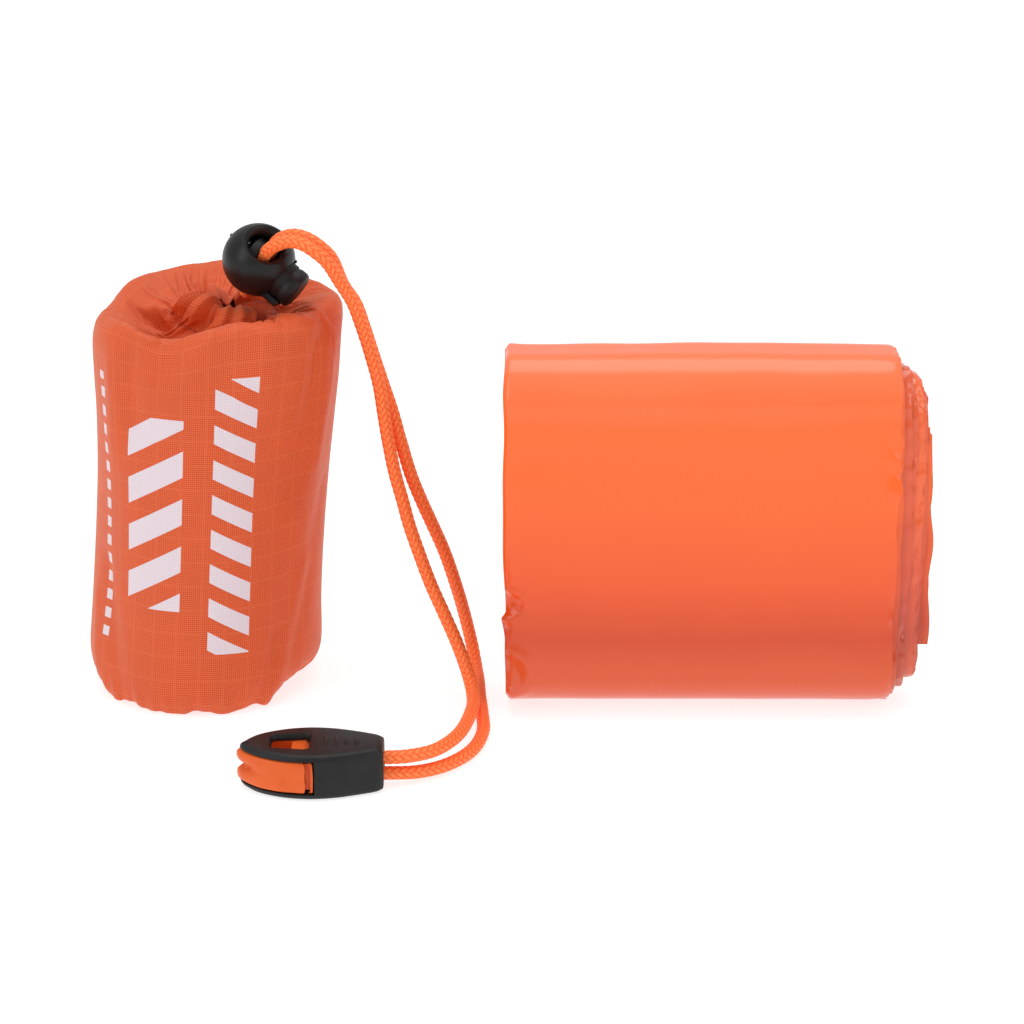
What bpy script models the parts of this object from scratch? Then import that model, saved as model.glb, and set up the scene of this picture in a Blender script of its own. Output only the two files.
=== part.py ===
"""Emergency bivy sack kit: a drawstring stuff sack with its packed film roll, a ball cord lock, a doubled
cord with a whistle on its end, and the folded film bivy beside it, standing on its long edge.

Metres, +Z up. The origin is on the surface the kit stands on, under the middle of the sack and the folded
bivy together. +X runs from the sack to the folded bivy, and the whistle lies on the -Y side."""

from math import cos, pi, radians, sin

import bmesh
import bpy
from mathutils import Matrix, Vector

MM = 0.001
GAP = 0.3 * MM

# stuff sack
SACK_X = -79.4 * MM
SACK_RADIUS = 33.0 * MM
SACK_HEIGHT = 104.6 * MM
FABRIC = 0.8 * MM
BASE_RADIUS = 28.5 * MM
ROLL_RADIUS = 29.4 * MM
MOUTH = Vector((-76.1, 1.85, 104.5)) * MM  # middle of the cinched drawcord loop
LOOP_RADIUS = 6.5 * MM

# cord and cord lock
CORD_RADIUS = 1.6 * MM
STRAND_OFFSET = 1.85 * MM  # each strand's centre from the middle plane of the lock's cord hole
STRAND_SHIFT = 1.5 * MM  # and how far the spring's plunger pushes both towards its button
LOCK_CENTRE = Vector((-64.9, -5.0, 118.3)) * MM
LOCK_RADIUS = 9.5 * MM
CORD_HOLE_RADIUS = 4.3 * MM
HOLE_AXIS = Vector((0.34, -0.62, 0.705)).normalized()
PLUNGER_AXIS = Vector((0.79, -0.284, -0.546))
PLUNGER_AXIS = (PLUNGER_AXIS - HOLE_AXIS * PLUNGER_AXIS.dot(HOLE_AXIS)).normalized()
SIDE_AXIS = HOLE_AXIS.cross(PLUNGER_AXIS)
PLUNGER_RADIUS = 5.2 * MM
PLUNGER_INNER = -3.0 * MM  # ends of the plunger along its axis, from the middle of the ball
PLUNGER_OUTER = 13.5 * MM
PLUNGER_TRAVEL = 2.5 * MM
BORE_RADIUS = 5.6 * MM
BORE_FLOOR = -6.6 * MM
TAIL_LENGTH = 13.2 * MM  # of a drawcord tail below the middle of the ball
MEETING = 7.0 * MM  # where tail and free strand meet, above the middle of the ball
STRAIGHT_END = 8.0 * MM  # where a free strand starts to bend

# whistle
WHISTLE_TAIL = Vector((-31.3, -71.8, 0.0)) * MM  # floor point under the middle of the tail face
WHISTLE_LENGTH = 36.1 * MM
WHISTLE_HEIGHT = 12.0 * MM
PLATE_BOTTOM = 1.6 * MM
PLATE_TOP = 10.5 * MM
INSERT_LENGTH = 19.2 * MM
INSERT_NOSE = 0.6 * MM
SOCKET_DEPTH = 12.0 * MM
STRAND_HEIGHTS = (7.5 * MM, 3.2 * MM)  # of the front and the rear strand at the whistle's tail

# folded bivy
BIVY_X = (-1.2 * MM, 112.4 * MM)
BIVY_Y = -17.0 * MM
BIVY_HEIGHT = 98.0 * MM
BIVY_THICK = 32.0 * MM
TOP_ROUND = 11.0 * MM
BOTTOM_ROUND = 15.0 * MM
WRAP_GAP = 0.4 * MM
# name, wall, left end and right end of each wrap, from the outside in
WRAPS = (
    ("bivy_wrap_outer", 4.0 * MM, 0.0, 102.0 * MM),
    ("bivy_wrap_second", 1.6 * MM, 1.0 * MM, 105.8 * MM),
    ("bivy_wrap_third", 2.6 * MM, 2.0 * MM, 108.9 * MM),
    ("bivy_wrap_fourth", 2.6 * MM, 3.0 * MM, 110.1 * MM),
)
CORE_Z = (15.6 * MM, 76.0 * MM)
FLAP_X = (4.0 * MM, 98.0 * MM)
FLAP_Z = (42.0 * MM, 84.0 * MM)
FLAP_THICK = 0.8 * MM

# routes of the two free strands in millimetres, from the end of the straight stretch to the whistle's tail
FRONT_ROUTE = (
    (-60.1, -13.7, 124.2),
    (-56.6, -15.7, 125.9),
    (-53.0, -17.1, 125.8),
    (-49.4, -18.1, 123.9),
    (-46.2, -17.2, 120.6),
    (-43.3, -14.2, 114.7),
    (-40.4, -12.2, 109.0),
    (-38.2, -10.6, 102.0),
    (-36.1, -9.6, 94.3),
    (-34.1, -9.1, 85.8),
    (-32.9, -9.0, 77.0),
    (-32.0, -9.0, 70.7),
    (-30.4, -9.0, 61.6),
    (-28.2, -9.5, 53.1),
    (-26.6, -10.0, 46.8),
    (-24.0, -11.0, 39.0),
    (-20.9, -12.5, 30.7),
    (-17.4, -14.8, 23.2),
    (-14.0, -18.0, 16.2),
    (-11.2, -22.6, 9.9),
    (-9.6, -29.0, 5.9),
    (-9.8, -38.5, 5.5),
    (-12.6, -54.0, 6.2),
    (-18.0, -65.4, 6.9),
    (-24.6, -70.6, 7.4),
)
REAR_ROUTE = (
    (-58.1, -10.6, 125.6),
    (-54.9, -12.4, 126.7),
    (-51.3, -13.9, 126.1),
    (-47.9, -14.3, 123.8),
    (-45.3, -12.9, 120.3),
    (-43.0, -8.8, 112.8),
    (-39.8, -8.3, 107.4),
    (-37.7, -6.7, 100.4),
    (-35.6, -5.7, 92.8),
    (-33.2, -5.1, 84.6),
    (-30.9, -5.0, 77.1),
    (-28.9, -5.0, 69.2),
    (-26.2, -4.5, 59.1),
    (-23.3, -4.0, 51.1),
    (-21.0, -3.0, 45.2),
    (-17.4, -1.6, 35.7),
    (-14.4, -0.2, 25.5),
    (-12.2, 1.0, 16.6),
    (-10.3, 0.8, 8.2),
    (-9.0, -3.6, 2.9),
    (-8.3, -11.0, 1.85),
    (-7.9, -20.0, 1.8),
    (-7.1, -32.0, 1.8),
    (-6.8, -44.0, 1.8),
    (-9.6, -55.4, 1.8),
    (-15.6, -64.2, 2.0),
    (-22.9, -69.8, 2.6),
)
CORD_POINTS = 56  # along each free strand

for leftover in list(bpy.data.objects):
    bpy.data.objects.remove(leftover, do_unlink=True)

kit = bpy.data.collections.new("bivy_sack_kit")
cutters = bpy.data.collections.new("cutters")
bpy.context.scene.collection.children.link(kit)
bpy.context.scene.collection.children.link(cutters)


# ---------------------------------------------------------------- materials


def plastic(name, colour, roughness, metallic=0.0):
    """A Principled material of one colour."""
    material = bpy.data.materials.new(name)
    material.use_nodes = True
    shader = material.node_tree.nodes["Principled BSDF"]
    shader.inputs["Base Color"].default_value = (*colour, 1.0)
    shader.inputs["Roughness"].default_value = roughness
    shader.inputs["Metallic"].default_value = metallic
    return material


# ---------------------------------------------------------------- helpers


def add(name, mesh, material, collection=kit):
    """A mesh as a named object with its own material."""
    thing = bpy.data.objects.new(name, mesh)
    collection.objects.link(thing)
    if material is not None:
        mesh.materials.append(material)
    return thing


def smooth(thing, angle=40.0):
    """Shades a round piece smooth, apart from its sharp edges."""
    thing.data.shade_smooth()
    thing.data.set_sharp_from_angle(angle=radians(angle))


def frame_of(origin, axis, side):
    """A placement whose local Z is axis and whose local X is side."""
    up = axis.normalized()
    across = side.normalized()
    back = up.cross(across)
    turned = Matrix((across, back, up)).transposed().to_4x4()
    return Matrix.Translation(origin) @ turned


def primitive(name, make, material, placement, collection=kit):
    """An object whose mesh a bmesh primitive makes, at a placement."""
    mesh = bpy.data.meshes.new(name)
    shape = bmesh.new()
    make(shape)
    shape.to_mesh(mesh)
    shape.free()
    thing = add(name, mesh, material, collection)
    thing.matrix_world = placement
    return thing


def cylinder(name, radius, low, high, placement, material=None, collection=cutters, sides=32):
    """A cylinder between two heights of a placement."""
    middle = Matrix.Translation((0.0, 0.0, (low + high) / 2))

    def make(shape):
        bmesh.ops.create_cone(shape, cap_ends=True, segments=sides, radius1=radius, radius2=radius,
                              depth=high - low, matrix=middle)

    return primitive(name, make, material, placement, collection)


def box(name, low, high, placement, material=None, collection=cutters):
    """A box between two corners of a placement."""
    size = Vector(high) - Vector(low)
    middle = (Vector(high) + Vector(low)) / 2
    stretch = Matrix.Translation(middle) @ Matrix.Diagonal((*size, 1.0))

    def make(shape):
        bmesh.ops.create_cube(shape, size=1.0, matrix=stretch)

    return primitive(name, make, material, placement, collection)


def cut(thing, cutter):
    """Cuts a piece with a hidden cutter."""
    cutter.hide_render = True
    cutter.display_type = "WIRE"
    boolean = thing.modifiers.new(cutter.name, "BOOLEAN")
    boolean.operation = "DIFFERENCE"
    boolean.object = cutter


def turned(name, profile, centre, material, steps=40):
    """A closed profile of (radius, height) points, top to bottom on its outer side, turned about Z."""
    mesh = bpy.data.meshes.new(name)
    count = len(profile)
    edges = [(i, (i + 1) % count) for i in range(count)]
    if profile[0][0] == 0.0:
        edges.pop()
    mesh.from_pydata([(radius, 0.0, height) for radius, height in profile], edges, [])
    thing = add(name, mesh, material)
    thing.location = centre
    screw = thing.modifiers.new("turn", "SCREW")
    screw.steps = steps
    screw.render_steps = steps
    screw.use_merge_vertices = True
    screw.merge_threshold = 0.0001 * MM
    screw.use_smooth_shade = True
    return thing


def catmull(points, count):
    """Points spread evenly along a smooth curve through the given points."""
    padded = [points[0] * 2 - points[1], *points, points[-1] * 2 - points[-2]]
    fine = []
    for i in range(len(points) - 1):
        a, b, c, d = padded[i : i + 4]
        for k in range(24):
            t = k / 24
            fine.append(0.5 * (2 * b + (c - a) * t + (2 * a - 5 * b + 4 * c - d) * t * t
                               + (3 * b - a - 3 * c + d) * t ** 3))
    fine.append(points[-1])
    lengths = [0.0]
    for a, b in zip(fine, fine[1:]):
        lengths.append(lengths[-1] + (b - a).length)
    even = []
    j = 0
    for i in range(count):
        want = lengths[-1] * i / (count - 1)
        while j < len(fine) - 2 and lengths[j + 1] < want:
            j += 1
        share = (want - lengths[j]) / (lengths[j + 1] - lengths[j])
        even.append(fine[j].lerp(fine[j + 1], min(share, 1.0)))
    return even


def tube(name, points, radius, material, cyclic=False):
    """A round tube along points, with closed ends."""
    data = bpy.data.curves.new(name, "CURVE")
    data.dimensions = "3D"
    data.bevel_depth = radius
    data.bevel_resolution = 2
    data.use_fill_caps = True
    line = data.splines.new("POLY")
    line.points.add(len(points) - 1)
    for place, point in zip(line.points, points):
        place.co = (*point, 1.0)
    line.use_cyclic_u = cyclic
    thing = bpy.data.objects.new(name, data)
    data.materials.append(material)
    kit.objects.link(thing)
    return thing


def slab(name, outline, low, high, placement, material):
    """A flat outline of (x, y) points, filled between two heights, as a mesh."""
    data = bpy.data.curves.new(name, "CURVE")
    data.dimensions = "2D"
    data.fill_mode = "BOTH"
    data.extrude = (high - low) / 2
    line = data.splines.new("POLY")
    line.points.add(len(outline) - 1)
    for place, (x, y) in zip(line.points, outline):
        place.co = (x, y, 0.0, 1.0)
    line.use_cyclic_u = True
    drawn = bpy.data.objects.new(name + "_outline", data)
    kit.objects.link(drawn)
    bpy.context.view_layer.update()
    graph = bpy.context.evaluated_depsgraph_get()
    mesh = bpy.data.meshes.new_from_object(drawn.evaluated_get(graph))
    bpy.data.objects.remove(drawn)
    shape = bmesh.new()
    shape.from_mesh(mesh)
    bmesh.ops.remove_doubles(shape, verts=shape.verts, dist=0.001 * MM)
    bmesh.ops.translate(shape, verts=shape.verts, vec=(0.0, 0.0, (low + high) / 2))
    bmesh.ops.recalc_face_normals(shape, faces=shape.faces)
    shape.to_mesh(mesh)
    shape.free()
    mesh.name = name
    thing = add(name, mesh, material)
    thing.matrix_world = placement
    return thing


# ---------------------------------------------------------------- stuff sack


def side_panel(material):
    """The fabric tube: rings from the base up over the shoulder to the cinched mouth, which sits off centre."""
    rings = (  # height, radius and how far the ring has moved towards the mouth's middle
        (0.0, 30.0 * MM, 0.0),
        (2.5 * MM, 31.2 * MM, 0.0),
        (10.0 * MM, 31.8 * MM, 0.0),
        (50.0 * MM, 32.6 * MM, 0.0),
        (82.0 * MM, SACK_RADIUS, 0.0),
        (94.0 * MM, 32.2 * MM, 0.0),
        (101.5 * MM, 28.5 * MM, 0.1),
        (SACK_HEIGHT, 22.0 * MM, 0.4),
        (104.4 * MM, 15.0 * MM, 0.8),
        (103.6 * MM, 9.8 * MM, 1.0),
    )
    sides = 40
    axis = Vector((SACK_X, 0.0, 0.0))
    offset = Vector((MOUTH.x - SACK_X, MOUTH.y, 0.0))
    shape = bmesh.new()
    loops = []
    for height, radius, share in rings:
        middle = axis + offset * share
        loop = []
        for i in range(sides):
            angle = 2 * pi * i / sides
            loop.append(shape.verts.new((middle.x + radius * cos(angle), middle.y + radius * sin(angle), height)))
        loops.append(loop)
    for lower, upper in zip(loops, loops[1:]):
        for i in range(sides):
            j = (i + 1) % sides
            shape.faces.new((lower[i], lower[j], upper[j], upper[i]))
    mesh = bpy.data.meshes.new("sack_side_panel")
    shape.to_mesh(mesh)
    shape.free()
    panel = add("sack_side_panel", mesh, material)
    wall = panel.modifiers.new("fabric", "SOLIDIFY")
    wall.thickness = FABRIC
    wall.offset = -1.0
    smooth(panel)


def sack():
    fabric = plastic("orange_ripstop", (0.72, 0.13, 0.04), 0.6)
    side_panel(fabric)
    centre = Vector((SACK_X, 0.0, 0.0))
    base_fabric = plastic("orange_base_fabric", (0.66, 0.11, 0.03), 0.65)
    base = ((0.0, FABRIC), (BASE_RADIUS, FABRIC), (BASE_RADIUS, 0.0), (0.0, 0.0))
    turned("sack_base_panel", base, centre, base_fabric)
    seam_thread = plastic("seam_thread", (0.55, 0.10, 0.03), 0.7)
    seam = ((27.8 * MM, 4.2 * MM), (29.2 * MM, 4.2 * MM), (29.2 * MM, 1.2 * MM), (27.8 * MM, 1.2 * MM))
    turned("base_seam_overlock", seam, centre, seam_thread)
    side_seam = plastic("side_seam_thread", (0.60, 0.11, 0.03), 0.7)
    box("side_seam_overlock", (-3.0 * MM, 29.8 * MM, 12.0 * MM), (3.0 * MM, 30.45 * MM, 92.0 * MM),
        Matrix.Translation(centre), side_seam, kit)
    film = plastic("packed_film", (0.90, 0.18, 0.05), 0.35)
    roll = (
        (0.0, 99.2 * MM),
        (20.0 * MM, 99.2 * MM),
        (26.5 * MM, 96.5 * MM),
        (ROLL_RADIUS, 90.0 * MM),
        (ROLL_RADIUS, 12.0 * MM),
        (28.0 * MM, 5.4 * MM),
        (26.8 * MM, 1.2 * MM),
        (0.0, 1.2 * MM),
    )
    turned("packed_bivy_roll", roll, centre, film)


def mouth(cord_material):
    """The hem channel, open below, with the cinched drawcord loop in it and a slot where the cord comes out."""
    hem_fabric = plastic("orange_hem_fabric", (0.74, 0.10, 0.03), 0.6)
    clear = CORD_RADIUS + 0.4 * MM
    outer = LOOP_RADIUS + clear
    inner = LOOP_RADIUS - clear
    channel = (
        (inner - FABRIC, clear + FABRIC),
        (outer + FABRIC, clear + FABRIC),
        (outer + FABRIC, -clear),
        (outer, -clear),
        (outer, clear),
        (inner, clear),
        (inner, -clear),
        (inner - FABRIC, -clear),
    )
    hem = turned("mouth_hem_channel", channel, MOUTH, hem_fabric)
    towards_lock = LOCK_CENTRE - HOLE_AXIS * TAIL_LENGTH
    slot = box("hem_slot", (-4.4 * MM, -4.4 * MM, 0.9 * MM), (4.4 * MM, 4.4 * MM, 6.0 * MM),
               Matrix.Translation((towards_lock.x, towards_lock.y, MOUTH.z)))
    cut(hem, slot)
    ring = []
    for i in range(36):
        angle = 2 * pi * i / 36
        ring.append(MOUTH + Vector((cos(angle), sin(angle), 0.0)) * LOOP_RADIUS)
    tube("hem_drawcord", ring, CORD_RADIUS, cord_material, cyclic=True)


# ---------------------------------------------------------------- cord lock


def lock():
    """A ball with a round cord hole right through it and a bore for the sprung plunger across the hole."""
    along_hole = frame_of(LOCK_CENTRE, HOLE_AXIS, PLUNGER_AXIS)
    along_plunger = frame_of(LOCK_CENTRE, PLUNGER_AXIS, HOLE_AXIS)
    black = plastic("black_lock_plastic", (0.018, 0.017, 0.018), 0.45)

    def ball(shape):
        bmesh.ops.create_uvsphere(shape, u_segments=32, v_segments=20, radius=LOCK_RADIUS)

    body = primitive("lock_body", ball, black, along_hole)
    reach = 2 * LOCK_RADIUS
    cut(body, cylinder("cord_hole", CORD_HOLE_RADIUS, -reach, reach, along_hole))
    cut(body, cylinder("plunger_bore", BORE_RADIUS, BORE_FLOOR, reach, along_plunger))
    smooth(body)

    button = plastic("black_plunger_plastic", (0.015, 0.015, 0.016), 0.5)
    plunger = cylinder("lock_plunger", PLUNGER_RADIUS, PLUNGER_INNER, PLUNGER_OUTER, along_plunger, button, kit)
    slot_low = (-reach, -3.9 * MM, -0.3 * MM)
    slot_high = (reach, 3.9 * MM, 3.4 * MM + PLUNGER_TRAVEL)
    cut(plunger, box("plunger_slot", slot_low, slot_high, along_plunger))
    edge = plunger.modifiers.new("edge", "BEVEL")
    edge.width = 0.4 * MM
    edge.segments = 2
    edge.limit_method = "ANGLE"
    edge.angle_limit = radians(50.0)
    smooth(plunger)

    steel = plastic("spring_steel", (0.55, 0.55, 0.56), 0.3, 1.0)
    wire = 0.3 * MM
    start = BORE_FLOOR + GAP + wire
    end = PLUNGER_INNER - GAP - wire
    turns = 3
    steps = 14 * turns
    coil = []
    for i in range(steps + 1):
        angle = 2 * pi * turns * i / steps
        height = start + (end - start) * i / steps
        coil.append(along_plunger @ Vector((3.0 * MM * cos(angle), 3.0 * MM * sin(angle), height)))
    tube("lock_spring", coil, wire, steel)


# ---------------------------------------------------------------- cord


def strand_point(side, along):
    """A point of a strand in the lock: side is -1 for the front strand and 1 for the rear one."""
    return LOCK_CENTRE + HOLE_AXIS * along + SIDE_AXIS * (STRAND_OFFSET * side) + PLUNGER_AXIS * STRAND_SHIFT


def free_strand(name, side, route, height, material):
    """From the lock's hole, over and down to the floor, and along it into the whistle's tail socket."""
    points = [strand_point(side, MEETING)]
    points.append(strand_point(side, STRAIGHT_END))
    points.extend(Vector(point) * MM for point in route)
    points.append(WHISTLE_TAIL + Vector((0.0, 0.0, height)))
    points.append(WHISTLE_TAIL + Vector((-4.0 * MM, 0.0, height)))
    points.append(WHISTLE_TAIL + Vector((-7.7 * MM, 0.0, height)))
    tube(name, catmull(points, CORD_POINTS), CORD_RADIUS, material)


def cords(material):
    sides = (("front", -1, FRONT_ROUTE), ("rear", 1, REAR_ROUTE))
    for (word, side, route), height in zip(sides, STRAND_HEIGHTS):
        tail = [strand_point(side, -TAIL_LENGTH), strand_point(side, MEETING - 2 * GAP)]
        tube("drawcord_tail_" + word, tail, CORD_RADIUS, material)
        free_strand("cord_strand_" + word, side, route, height, material)


# ---------------------------------------------------------------- whistle


def whistle_outline(inset, start, end):
    """Plan of the whistle, nose at x = 0 and tail at x = length, as a leaf with a flat tail; the part of it
    between start and end, pulled in by inset."""
    halves = (
        (0.0, 0.0), (1.0, 2.2), (3.5, 4.7), (7.0, 7.0), (12.0, 8.9), (18.0, 9.7),
        (24.0, 9.0), (29.0, 7.5), (33.5, 5.8), (35.3, 5.1), (36.1, 4.3),
    )
    curve = [Vector((x, y, 0.0)) * MM for x, y in halves]
    edge = [point for point in catmull(curve, 40) if start <= point.x <= end]
    upper = [(point.x, max(point.y - inset, 0.4 * MM)) for point in edge]
    lower = [(x, -y) for x, y in reversed(upper)]
    return upper + lower


def whistle():
    """A black housing of two plates and a tail block, and the orange sounding insert between the plates."""
    black = plastic("black_whistle_plastic", (0.020, 0.019, 0.020), 0.4)
    orange = plastic("orange_whistle_plastic", (0.80, 0.16, 0.03), 0.35)
    nose = Matrix.Translation(WHISTLE_TAIL - Vector((WHISTLE_LENGTH, 0.0, 0.0)))
    housing = slab("whistle_housing", whistle_outline(0.0, 0.0, WHISTLE_LENGTH), 0.0, WHISTLE_HEIGHT, nose, black)
    wide = 20.0 * MM
    cut(housing, box("insert_bay", (-wide, -wide, PLATE_BOTTOM), (INSERT_LENGTH, wide, PLATE_TOP), nose))
    cut(housing, box("sound_window", (8.0 * MM, -4.0 * MM, PLATE_TOP - MM), (17.6 * MM, 4.0 * MM, 14.0 * MM), nose))
    cut(housing, box("cord_socket", (WHISTLE_LENGTH - SOCKET_DEPTH, -2.1 * MM, 1.2 * MM),
                     (WHISTLE_LENGTH + wide, 2.1 * MM, 9.5 * MM), nose))
    insert_length = INSERT_LENGTH - GAP
    outline = [(x - INSERT_NOSE, y) for x, y in whistle_outline(0.0, 0.0, insert_length + INSERT_NOSE)]
    insert = slab("whistle_insert", outline, PLATE_BOTTOM + GAP, PLATE_TOP - GAP, nose, orange)
    cut(insert, box("sound_chamber", (8.0 * MM, -4.0 * MM, 4.6 * MM), (13.0 * MM, 4.0 * MM, 14.0 * MM), nose))
    cut(insert, box("air_slot", (-wide, -2.2 * MM, 6.4 * MM), (9.0 * MM, 2.2 * MM, 7.6 * MM), nose))

    knot_x = WHISTLE_TAIL.x - SOCKET_DEPTH + 2.15 * MM
    knot_place = Matrix.Translation((knot_x, WHISTLE_TAIL.y, 5.35 * MM))
    knot_shape = Matrix.Diagonal((1.8, 1.75, 3.8, 1.0))

    def knot(shape):
        bmesh.ops.create_uvsphere(shape, u_segments=16, v_segments=10, radius=MM, matrix=knot_shape)

    tied = primitive("cord_end_knot", knot, plastic("knot_cord", (0.85, 0.14, 0.02), 0.7), knot_place)
    smooth(tied)


# ---------------------------------------------------------------- folded bivy


def wrap_outline(depth):
    """Cross-section (y, z) of the folded bivy, pulled in by depth, with a tight top fold and a fuller bottom."""
    half = BIVY_THICK / 2 - depth
    top = BIVY_HEIGHT - depth
    points = []
    corners = (
        (1, top, max(TOP_ROUND - depth, 1.0 * MM), 1, 0.0),
        (-1, top, max(TOP_ROUND - depth, 1.0 * MM), 1, 90.0),
        (-1, depth, max(BOTTOM_ROUND - depth, 1.0 * MM), -1, 180.0),
        (1, depth, max(BOTTOM_ROUND - depth, 1.0 * MM), -1, 270.0),
    )
    for side, level, radius, up, first in corners:
        for i in range(6):
            angle = radians(first + 18.0 * i)
            y = side * (half - radius) + radius * cos(angle)
            z = level - up * radius + radius * sin(angle)
            points.append((BIVY_Y + y, z))
    return points


def prism(name, outer, inner, left, right, material):
    """A ring, or a solid where inner is None, between two cross-sections, drawn out along X."""
    shape = bmesh.new()
    count = len(outer)

    def loop(outline, x):
        return [shape.verts.new((x, y, z)) for y, z in outline]

    def wall(a, b):
        for i in range(count):
            j = (i + 1) % count
            shape.faces.new((a[i], a[j], b[j], b[i]))

    outside = (loop(outer, left), loop(outer, right))
    wall(*outside)
    if inner is None:
        shape.faces.new(outside[0])
        shape.faces.new(outside[1])
    else:
        inside = (loop(inner, left), loop(inner, right))
        wall(*inside)
        wall(outside[0], inside[0])
        wall(outside[1], inside[1])
    bmesh.ops.recalc_face_normals(shape, faces=shape.faces)
    mesh = bpy.data.meshes.new(name)
    shape.to_mesh(mesh)
    shape.free()
    smooth(add(name, mesh, material))


def folded_bivy():
    """Wraps of the folded film, one inside the next, each standing a little further out at the right end."""
    depth = 0.0
    for i, (name, wall, left, right) in enumerate(WRAPS):
        film = plastic(name + "_film", (0.95, 0.20 - 0.02 * i, 0.05), 0.3)
        outer = wrap_outline(depth)
        inner = wrap_outline(depth + wall)
        prism(name, outer, inner, BIVY_X[0] + left, BIVY_X[0] + right, film)
        depth += wall + WRAP_GAP
    core_half = BIVY_THICK / 2 - depth
    core = (
        (BIVY_Y + core_half, CORE_Z[0]),
        (BIVY_Y + core_half, CORE_Z[1]),
        (BIVY_Y - core_half, CORE_Z[1]),
        (BIVY_Y - core_half, CORE_Z[0]),
    )
    left = BIVY_X[0] + 4.0 * MM
    prism("bivy_core_fold", core, None, left, BIVY_X[1], plastic("core_film", (0.85, 0.14, 0.04), 0.3))
    back = BIVY_Y + BIVY_THICK / 2 + WRAP_GAP
    hinge = Vector((FLAP_X[0], back + FLAP_THICK / 2, FLAP_Z[1]))
    half = FLAP_THICK / 2
    box("bivy_tail_flap", (0.0, -half, FLAP_Z[0] - FLAP_Z[1]), (FLAP_X[1] - FLAP_X[0], half, 0.0),
        Matrix.Translation(hinge), plastic("tail_film", (0.92, 0.19, 0.06), 0.3), kit)


orange_cord = plastic("orange_braid", (0.85, 0.15, 0.03), 0.7)
sack()
mouth(orange_cord)
lock()
cords(orange_cord)
whistle()
folded_bivy()
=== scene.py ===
"""Looks of the emergency bivy sack kit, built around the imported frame: a full drawstring stuff sack with its
ball cord lock, doubled braided cord and whistle, and the folded film bivy standing beside it."""

from math import cos, pi, radians, sin

import bmesh
import bpy
import numpy as np
from mathutils import Matrix, Vector


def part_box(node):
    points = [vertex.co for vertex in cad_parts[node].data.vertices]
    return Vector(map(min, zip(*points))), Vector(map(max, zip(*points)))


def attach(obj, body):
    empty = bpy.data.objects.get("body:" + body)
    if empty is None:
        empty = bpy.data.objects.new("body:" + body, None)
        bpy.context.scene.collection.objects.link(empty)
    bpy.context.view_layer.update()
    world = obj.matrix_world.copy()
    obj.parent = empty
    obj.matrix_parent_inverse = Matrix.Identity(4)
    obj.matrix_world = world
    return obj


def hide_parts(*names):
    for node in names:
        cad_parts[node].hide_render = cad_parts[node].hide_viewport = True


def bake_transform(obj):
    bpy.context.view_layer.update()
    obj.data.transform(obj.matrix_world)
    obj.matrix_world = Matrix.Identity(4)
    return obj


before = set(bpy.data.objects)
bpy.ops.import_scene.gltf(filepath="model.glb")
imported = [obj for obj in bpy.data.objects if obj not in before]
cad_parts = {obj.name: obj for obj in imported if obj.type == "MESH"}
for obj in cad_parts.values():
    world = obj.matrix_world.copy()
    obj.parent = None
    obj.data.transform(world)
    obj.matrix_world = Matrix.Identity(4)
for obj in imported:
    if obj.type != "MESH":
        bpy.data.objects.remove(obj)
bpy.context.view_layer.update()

MM = 0.001

# ---------------------------------------------------------------- camera, floor and light

ELEVATION = radians(20.0)
DISTANCE = 0.75
TARGET = Vector((0.8, 0.0, 46.8)) * MM
VIEW_WIDTH = 276.5 * MM  # what the frame's width covers at the target
SENSOR = 36.0
LIGHTS = (  # name, place, what it points at, and size, in metres, and power in watts
    ("top_light", (0.0, 0.05, 0.9), (0.0, 0.0, 0.05), (0.9, 0.6), 3.5),
    ("left_light", (-0.75, -0.55, 0.5), (-0.02, 0.0, 0.05), (0.5, 0.6), 1.8),
    ("right_light", (0.8, -0.6, 0.45), (0.02, 0.0, 0.05), (0.5, 0.6), 1.2),
)
SURROUND = 0.62  # strength of the even light from all round
FLOOR_HEIGHT = -0.1 * MM  # just under the lowest pieces
FLOOR_REACH = 4.0  # from the middle to an edge, in metres


def added(name, data):
    """A new object in the scene, of a mesh, a light or a camera."""
    thing = bpy.data.objects.new(name, data)
    bpy.context.scene.collection.objects.link(thing)
    return thing


def camera():
    data = bpy.data.cameras.new("camera")
    data.sensor_width = SENSOR
    data.lens = SENSOR * DISTANCE / VIEW_WIDTH
    data.clip_start = 0.01
    thing = added("camera", data)
    thing.location = TARGET + DISTANCE * Vector((0.0, -cos(ELEVATION), sin(ELEVATION)))
    thing.rotation_euler = (pi / 2 - ELEVATION, 0.0, 0.0)
    bpy.context.scene.camera = thing


def area_light(name, place, aim, size, power):
    data = bpy.data.lights.new(name, "AREA")
    data.shape = "RECTANGLE"
    data.size, data.size_y = size
    data.energy = power
    thing = added(name, data)
    thing.location = place
    thing.rotation_euler = (Vector(aim) - Vector(place)).to_track_quat("-Z", "Y").to_euler()


def studio():
    """A pale floor, a pale even surround and three soft lights."""
    mesh = made_mesh("floor", bmesh.ops.create_grid, x_segments=1, y_segments=1, size=FLOOR_REACH)
    floor = added("floor", mesh)
    floor.location.z = FLOOR_HEIGHT
    glow = {"Emission_Color": (1.0, 1.0, 1.0, 1.0), "Emission_Strength": 0.74}
    mesh.materials.append(material("floor_white", (0.42, 0.42, 0.42), 0.9, **glow)[0])
    world = bpy.data.worlds.new("surround")
    world.use_nodes = True
    background = world.node_tree.nodes["Background"].inputs
    background["Color"].default_value = (1.0, 1.0, 1.0, 1.0)
    background["Strength"].default_value = SURROUND
    bpy.context.scene.world = world
    for light in LIGHTS:
        area_light(*light)


# ---------------------------------------------------------------- materials


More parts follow.
